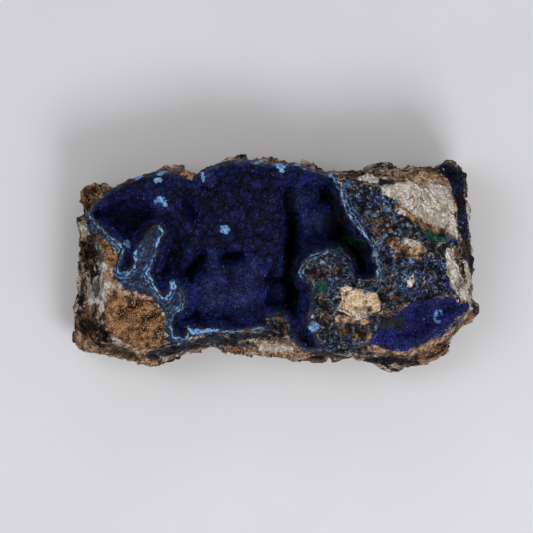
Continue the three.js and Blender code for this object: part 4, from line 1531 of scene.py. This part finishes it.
@dataclass
class HostRock:
    """The block of iron-stained rock, with room for the azurite that grew in it."""

    cell: float = 0.48
    overlap: float = 0.3  # how far inside a crust's edge its room starts
    bed: float = 1.9  # depth of that room under the crust's top
    tuck: float = 0.3  # how far the flank is drawn in, and how much more towards the back
    back_tuck: float = 1.3
    back: float = 15.0
    rounding: float = 1.2  # of the edge between the flank and the top
    ripple: float = 0.4  # of the flank's inset, and height of its bulging layers
    bulge: float = 0.3
    layer: float = 3.5
    facets: tuple[Point, ...] = ((8.0, 0.75), (3.4, 0.45))  # size and height of the broken faces
    lump_sizes: tuple[Point, ...] = ((2.8, 1.4), (1.4, 0.6))  # size and height of the blue ground's lumps
    noise: Noise = Noise(5)

    def field(self, block: Block) -> Array:
        """Field of the block on its grid, in millimetres, negative inside."""
        x, y, z = block.axes()
        turn = np.arctan2(y / HALF_WIDTH, x / HALF_LENGTH)[..., None]
        inset = np.interp(z, *zip(*FLANK))
        ripple = 1 + self.ripple * np.sin(7 * turn + 0.25 * z)
        swell = (1 - np.cos((z - 4 * self.layer) / self.layer)) * (1 + np.sin(5 * turn - 0.4 * z))
        tuck = self.tuck * (1 + self.back_tuck * smoothstep((y - self.back) / 5))
        outline = plan_distance(ROCK_OUTLINE, x, y) + tuck - merged(SPURS, x, y)
        flank = outline[..., None] + inset * ripple + self.bulge * swell
        top = rock_top(x, y)
        solid = smooth_max(flank, (z - top[..., None]) / slope_of(top, self.cell), self.rounding)
        for crust in (VUG_CRUST, POCKET_CRUST, SEAM_CRUST):
            inside = -(plan_distance(crust.outline, x, y) + self.overlap)[..., None]
            level = crust.top_of(x, y)
            room = np.minimum(inside, (z - level[..., None]) / slope_of(level, self.cell) + self.bed)
            solid = np.maximum(solid, room)
        return np.maximum(solid, -z)

    def roughen(self, skin: Skin) -> Skin:
        """The smooth block broken into facets and grains."""
        x, y, z = skin.points.T
        calm = 1 - 0.6 * smoothstep(zone_reach(Zone.CALCITE, x, y) / 0.8 + 0.5)
        calm *= 1 - 0.8 * smoothstep(zone_reach(Zone.PEACH, x, y) / 0.8 + 0.5)
        standing = smoothstep(z / 1.5)
        standing *= 0.3 + 0.7 * smoothstep(plan_distance(LINING_OUTLINE, x, y) + 0.6)
        sideways = 1 - 0.75 * smoothstep(skin.normals()[:, 2] * 2 - 0.6)
        broken = sum(height * self.noise.cells(skin.points, size)[2] for size, height in self.facets)
        skin = skin.raised(standing * sideways * broken)
        grain = 0.35 * self.noise.rough(skin.points, 2.6, 3) - 0.35 * self.noise.cells(skin.points, 1.5)[0]
        return skin.raised(standing * (calm * (grain + 0.15) + self.lumps(skin)))

    def lumps(self, skin: Skin) -> Array:
        """Heights of the lumps and small cavities in the grainy zones."""
        x, y, _ = skin.points.T
        blue = smoothstep(zone_reach(Zone.BLUE, x, y) + 0.4)
        tan = smoothstep(np.maximum(zone_reach(Zone.TAN, x, y), zone_reach(Zone.IRON, x, y)) + 0.4)
        domes = ((height, self.noise.domes(skin.points, size)) for size, height in self.lump_sizes)
        round_lumps = sum(height * (dome - 0.75) for height, dome in domes)
        cavities = smoothstep(self.noise.rough(skin.points + 50, 3.2, 2) * 2.2 - 0.5)
        crumbs = 0.8 * self.noise.rough(skin.points + 90, 2.2, 2)
        crumbs += 0.35 * self.noise.cells(skin.points, 2.6)[2]
        return blue * (round_lumps - 1.1 * cavities) + (1 - blue) * tan * crumbs

    def values(self, skin: Skin) -> dict[str, Array]:
        """Numbers that the rock's finish reads at each point."""
        x, y, z = skin.points.T
        depth = np.maximum(0, rock_top(x, y) - z - 1.5)
        values = {zone.value: zone_reach(zone, x, y) - 0.3 * depth for zone in Zone}
        values["edge"] = plan_distance(LINING_OUTLINE, x, y)
        values["flank"] = plan_distance(ROCK_OUTLINE, x, y) + 0.35 * z
        values["rim"] = rim_strength(x, y) * smoothstep(1.2 - values["edge"] / 2.2) * smoothstep(1.5 - depth)
        return values

    def build(self, effects: Effects) -> tuple[Skin, dict[str, Array]]:
        """Makes the rock, and returns its surface and the numbers kept there."""
        block = Block((-50, -27, -self.cell * 1.5), (50, 27, 33.5), self.cell)
        smooth = block.skin(self.field(block))
        skin = self.roughen(smooth)
        values = self.values(skin)
        values["relief"] = np.einsum("ij,ij->i", skin.points - smooth.points, smooth.normals())
        Title("host_rock_surface", "host_rock", "host_rock").show(skin, values, RockFinish().build(effects))
        return skin, values


@dataclass
class VugLining:
    """The botryoidal azurite that lines the open vug."""

    block: Block = Block((-46, -23.5, 3), (26.5, 25, 31.5), 0.3)
    # Size, height and cleft of each generation of growths; the cleft sets how dark the painted shade in its
    # creases is.
    generations: tuple[tuple[float, float, float], ...] = ((5.8, 1.9, 0.8), (2.8, 1.0, 0.8), (1.3, 0.3, 0.4))
    # Where the druse's three pieces meet.
    arm_end: float = -17.0
    middle_end: float = 3.5
    noise: Noise = Noise(21)

    @staticmethod
    def crown(skin: Skin) -> tuple[Array, Array]:
        """How near each point is to the top of a ball, and whether a ball covers it, each from 0 to 1."""
        x, y, z = skin.points.T
        crown = np.zeros(len(x))
        cover = np.zeros(len(x))
        for ball in BALLS:
            off = np.hypot(x - ball.x, y - ball.y) / ball.radius
            raised = smoothstep(z - ball.z + 0.6)
            crown = np.maximum(crown, smoothstep(1.0 - off) * raised)
            cover = np.maximum(cover, smoothstep((1.02 - off) * 5) * raised)
        return crown, cover

    @staticmethod
    def moat(skin: Skin) -> Array:
        """How near each point is to the crease at a ball's foot, from 0 to 1."""
        x, y, z = skin.points.T
        moat = np.zeros(len(x))
        for ball in BALLS:
            off = np.hypot(x - ball.x, y - ball.y) - ball.radius
            near = smoothstep(1 - np.abs(off - 0.3) / 0.9)
            moat = np.maximum(moat, near * smoothstep(1 - (z - ball.z) / 3))
        return moat

    def botryoids(self, points: Array, cover: Array) -> tuple[Array, Array]:
        """Crowded round growths of several sizes, calmer on the balls.

        Args:
            points: places on the lining.
            cover: whether a ball covers each, from 0 to 1.

        Returns:
            How far they stand out at each place, in millimetres, and how open the place is, from 0 in the
            creases to 1; the finishes darken the colour by openness as painted shade in the creases.
        """
        warped = points + 0.5 * np.stack([self.noise.waves(points + 31 * i, 2.2) for i in (1, 2, 3)], axis=1)
        height = np.zeros(len(points))
        openness = np.ones(len(points))
        for size, tall, cleft in self.generations:
            calm = 1 - min(1, size / 4) * 0.75 * cover
            first, second, _ = self.noise.cells(warped, size)
            dome = np.sqrt(np.clip(1 - first**2, 0, 1))
            height += tall * calm * (dome - 0.75)
            crease = 1 - smoothstep((second - first) * size / 0.7)
            # Painted shade: darker along the creases between growths and away from their crowns.
            openness *= (1 - cleft * calm * crease) * (1 - 0.55 * cleft * calm * (1 - dome))
        return height, openness

    def values(self, skin: Skin, cover: Array, crown: Array, openness: Array) -> dict[str, Array]:
        """Numbers that the lining's finish and its druse read at each point.

        Args:
            skin: the lining's surface before its growths stand out.
            cover: whether a ball covers each point, from 0 to 1.
            crown: how near each point is to a ball's top, from 0 to 1.
            openness: how far each point is from the creases, from 0 to 1, which sets their painted shade.

        Returns:
            The numbers, by attribute name.
        """
        x, y, z = skin.points.T
        hollow = -plan_distance(HOLLOW_OUTLINE, x, y)
        # Painted shade: darker the deeper a point lies below the rock's top.
        depth = smoothstep((rock_top(x, y) - z - 8.5) / 8.0)
        below = lining_top(x, y) - z
        facing = skin.normals()[:, 2]
        # Painted highlight on upward faces that are clear of the creases.
        lit = smoothstep(facing * 2 - 0.9) * smoothstep((openness - 0.5) * 2)
        # Painted light on steep walls and on the balls.
        lift = 1.15 + 0.6 * smoothstep(1 - facing) + 0.3 * cover
        # Painted shade from the creases, the depth and each ball's foot, with the painted light above.
        shade = openness * (1 - 0.7 * depth * (1 - 0.7 * cover)) * lift * (1 - 0.8 * self.moat(skin))
        # Painted shadow over the gorge, the deep hole and the crevices by the balls.
        shading = np.clip(merged(PAINTED_SHADOWS, x, y) * 1.4, 0, 1)
        return {
            "hollow": hollow,
            # The "dome" number carries all this painted shade and painted shadow.
            "dome": shade * (1 - 0.9 * shading),
            # Painted sheen on the ball crowns and on lit upward faces, less deep in the vug.
            "painted_sheen": np.clip(0.9 * crown + 0.3 * lit * (1 - depth), 0, 1) * openness,
            "rim": rim_strength(x, y) * smoothstep(2 - below),
            "spot": stroke_reach(SKY_SPOTS, x, y) - 1.5 * np.maximum(0, below - 0.6),
            "outer": smoothstep(below / 1.5 - 0.4) * smoothstep(0.5 - hollow),
            "green": smoothstep(zone_reach(Zone.MALACHITE, x, y) + 0.5),
        }

    def build(self, effects: Effects, scatter: Scatter) -> None:
        """Makes the lining and the druse on it."""
        skin = self.block.skin(VUG_CRUST.field(self.block))
        crown, cover = self.crown(skin)
        height, openness = self.botryoids(skin.points, cover)
        values = self.values(skin, cover, crown, openness)
        inside = smoothstep(values["hollow"] / 0.9)
        ragged = 0.5 * self.noise.rough(skin.points, 1.6, 3) - 0.4 * self.noise.cells(skin.points, 1.3)[0]
        skin = skin.raised(inside * height + (1 - inside) * 0.7 * (ragged + 0.15))
        finish = AzuriteFinish().build(effects)
        Title("vug_lining_surface", "azurite", "azurite_vug_lining").show(skin, values, finish)
        self.grow_druse(skin, values, scatter)

    def grow_druse(self, skin: Skin, values: dict[str, Array], scatter: Scatter) -> None:
        """Grows the druse on the lining's floor and walls, in three pieces.

        Args:
            skin: the lining's surface.
            values: numbers kept at its points.
            scatter: the tree that places the crystals.
        """
        finish = VUG_DRUSE.build()
        middle = skin.mean(skin.points)
        along = middle[:, 0]
        upright = skin.mean(skin.normals())[:, 2] > -0.15
        floor = middle[:, 2] > lining_top(along, middle[:, 1]) - VUG_CRUST.thickness * 0.6
        velvet = (skin.least(values["hollow"]) > 0.25) & (skin.most(values["spot"]) < 0)
        velvet &= skin.most(values["green"]) < 0.5
        grown = upright & floor & velvet
        regions = {
            "left_arm_druse": along < self.arm_end,
            "middle_druse": (along >= self.arm_end) & (along < self.middle_end),
            "right_druse": along >= self.middle_end,
        }
        kept = {key: values[key] for key in ("painted_sheen", "dome")}
        for seed, (name, region) in enumerate(regions.items(), 40):
            growth = Growth(name, "azurite", 17.0, 0.25, 0.46, 1.5, 0.7, seed)
            growth.grow(part_of(name, skin, grown & region, kept), scatter, finish)


@dataclass(frozen=True)
class SmallGrowth:
    """Azurite in the corner pocket or the end seam, with its crystals."""

    title: Title
    crust: Crust
    block: Block
    relief: float
    growth: Growth
    noise: Noise = Noise(33)

    def build(self, finish: bpy.types.Material, crystals: bpy.types.Material, scatter: Scatter) -> None:
        """Makes the crust and its crystals.

        Args:
            finish: the crust's material.
            crystals: its crystals' material.
            scatter: the tree that places them.
        """
        skin = self.block.skin(self.crust.field(self.block))
        bumps = self.noise.domes(skin.points, 2.2) + 0.4 * self.noise.domes(skin.points, 0.9) - 1.1
        skin = skin.raised(self.relief * bumps)
        x, y, _ = skin.points.T
        facing = skin.normals()[:, 2]
        values = {
            "hollow": -plan_distance(self.crust.outline, x, y),
            # "dome" is painted shade between the bumps; the next number is a painted sheen on upward faces.
            "dome": self.noise.domes(skin.points, 2.2),
            "painted_sheen": 0.3 * smoothstep(facing),
            "rim": np.zeros(len(x)),
            "spot": stroke_reach(POCKET_RING, x, y),
            "dull": smoothstep(zone_reach(Zone.SLATE, x, y) + 0.5 + self.noise.waves(skin.points, 1.6)),
        }
        self.title.show(skin, values, finish)
        faces = (skin.mean(facing) > 0.1) & (skin.most(values["spot"]) < 0)
        kept = {key: values[key] for key in ("painted_sheen", "dome", "dull")}
        surface = part_of(self.title.piece + "_part", skin, faces, kept)
        self.growth.grow(surface, scatter, crystals)


POCKET = SmallGrowth(
    Title("pocket_crust_surface", "bright_azurite", "azurite_pocket_crust"),
    POCKET_CRUST, Block((20, -23, 8), (48, -6, 31), 0.3), 0.5,
    Growth("pocket_druse", "bright_azurite", 14.0, 0.3, 0.6, 1.3, 0.8, 51),
)
SEAM = SmallGrowth(
    Title("end_seam_surface", "azurite", "azurite_end_seam"),
    SEAM_CRUST, Block((36, 2, 12), (47, 25, 34), 0.3), 0.6,
    Growth("end_seam_crystals", "azurite", 9.0, 0.4, 0.9, 1.4, 0.9, 52),
)


def grow_rock_grains(skin: Skin, values: dict[str, Array], scatter: Scatter) -> None:
    """Grows mineral grains on the rock's granular zones.

    Args:
        skin: the rock's surface.
        values: numbers kept at its points.
        scatter: the tree that places the grains.
    """
    upward = skin.mean(skin.normals())[:, 2] > 0.1
    places = skin.points[skin.quads[:, 0]]

    def within(*zones: Zone) -> Array:
        """Faces inside any of the zones."""
        return upward & np.any([skin.least(values[zone.value]) > 0.2 for zone in zones], axis=0)

    clear = ~within(Zone.CALCITE, Zone.PEACH, Zone.MALACHITE)
    blue = within(Zone.BLUE)
    specked = Noise(72).rough(places, 1.7, 2) > 0.1
    patchy = Noise(71).rough(places, 3.0, 2) > 0
    rusty = within(Zone.TAN, Zone.IRON) & ~blue & ~within(Zone.MANGANESE)
    spotted = blue & patchy & ~within(Zone.PINK, Zone.IRON)
    black = within(Zone.MANGANESE, Zone.SLATE) & specked
    grains = (
        (rusty, LIMONITE, Growth("limonite_grains", "host_rock", 3.0, 0.2, 0.55, 0.8, 0.8, 61)),
        (spotted, SPHERULES, Growth("blue_spherules", "azurite", 0.6, 0.3, 0.8, 0.85, 0.8, 62)),
        (black, BLACK_ORE, Growth("dark_grains", "host_rock", 2.6, 0.25, 0.6, 0.9, 0.8, 63)),
    )
    for faces, finish, growth in grains:
        growth.grow(part_of(growth.name + "_part", skin, faces & clear, {}), scatter, finish.build())


@dataclass(frozen=True)
class Softbox:
    """A square softbox that faces the specimen: place and side in millimetres, power in watts."""

    name: str
    place: tuple[float, float, float]
    side: float
    power: float

    def build(self) -> None:
        """Adds the light."""
        lamp = bpy.data.lights.new(self.name, "AREA")
        lamp.size = self.side * UNIT
        lamp.energy = self.power
        softbox = put(self.name, lamp)
        softbox.location = [part * UNIT for part in self.place]
        softbox.rotation_euler = softbox.location.to_track_quat("Z", "Y").to_euler()


@dataclass(frozen=True)
class Studio:
    """Plain pale floor, soft light and a camera that looks straight down; sizes in millimetres."""

    floor_reach: float = 900.0
    shade: Colour = paint(236, 236, 239)
    light: Colour = paint(240, 240, 243)
    room_light: float = 0.42
    softboxes: tuple[Softbox, ...] = (
        Softbox("key", (150, -260, 430), 200, 0.95),
        Softbox("overhead", (-210, 80, 560), 220, 0.5),
    )
    distance: float = 1200.0
    aim_height: float = 27.0
    frame_width: float = 125.0
    centre: Point = (-2.0, -1.3)

    def build(self) -> None:
        """Makes the floor, the lights and the camera."""
        self.build_floor()
        world = bpy.data.worlds.new("soft_room")
        world.use_nodes = True
        background = world.node_tree.nodes["Background"].inputs
        background["Color"].default_value = (1.0, 1.0, 1.0, 1.0)
        background["Strength"].default_value = self.room_light
        bpy.context.scene.world = world
        for softbox in self.softboxes:
            softbox.build()
        self.build_camera()

    def build_floor(self) -> None:
        """Makes the floor."""
        corners = [(-1, -1, 0), (1, -1, 0), (1, 1, 0), (-1, 1, 0)]
        points = self.floor_reach * np.array(corners, float)
        floor = put("floor", make_mesh("floor", points, np.array([[0, 1, 2, 3]]), {}))
        material, graph, shader = new_material("pale_floor")
        tone = graph.blend(graph.mottle(graph.millimetres(), 60, 3, 0, 0.3, 0.7), self.shade, self.light)
        graph.feed(shader.inputs["Base Color"], tone)
        shader.inputs["Roughness"].default_value = 0.9
        floor.data.materials.append(material)

    def build_camera(self) -> None:
        """Makes the camera, straight above the specimen."""
        lens = bpy.data.cameras.new("camera")
        lens.sensor_width = 36.0
        lens.lens = lens.sensor_width * self.distance / self.frame_width
        lens.clip_start = 0.01
        camera = put("camera", lens)
        x, y = self.centre
        camera.location = (x * UNIT, y * UNIT, (self.distance + self.aim_height) * UNIT)
        bpy.context.scene.camera = camera
        bpy.context.scene.view_settings.view_transform = "Standard"


def main() -> None:
    """Builds the studio and each part of the specimen in order."""
    logging.basicConfig(level=logging.INFO, format="%(message)s")
    Studio().build()
    effects = Effects()
    crystals = Scatter("crystal_growth", 4, 2)
    grains = Scatter("grain_growth", 5, 3)
    VugLining().build(effects, crystals)
    POCKET.build(POCKET_SKIN.build(effects), POCKET_DRUSE.build(), crystals)
    SEAM.build(SEAM_SKIN.build(effects), SEAM_CRYSTALS.build(), crystals)
    skin, values = HostRock().build(effects)
    grow_rock_grains(skin, values, grains)


if __name__ == "__main__":
    main()
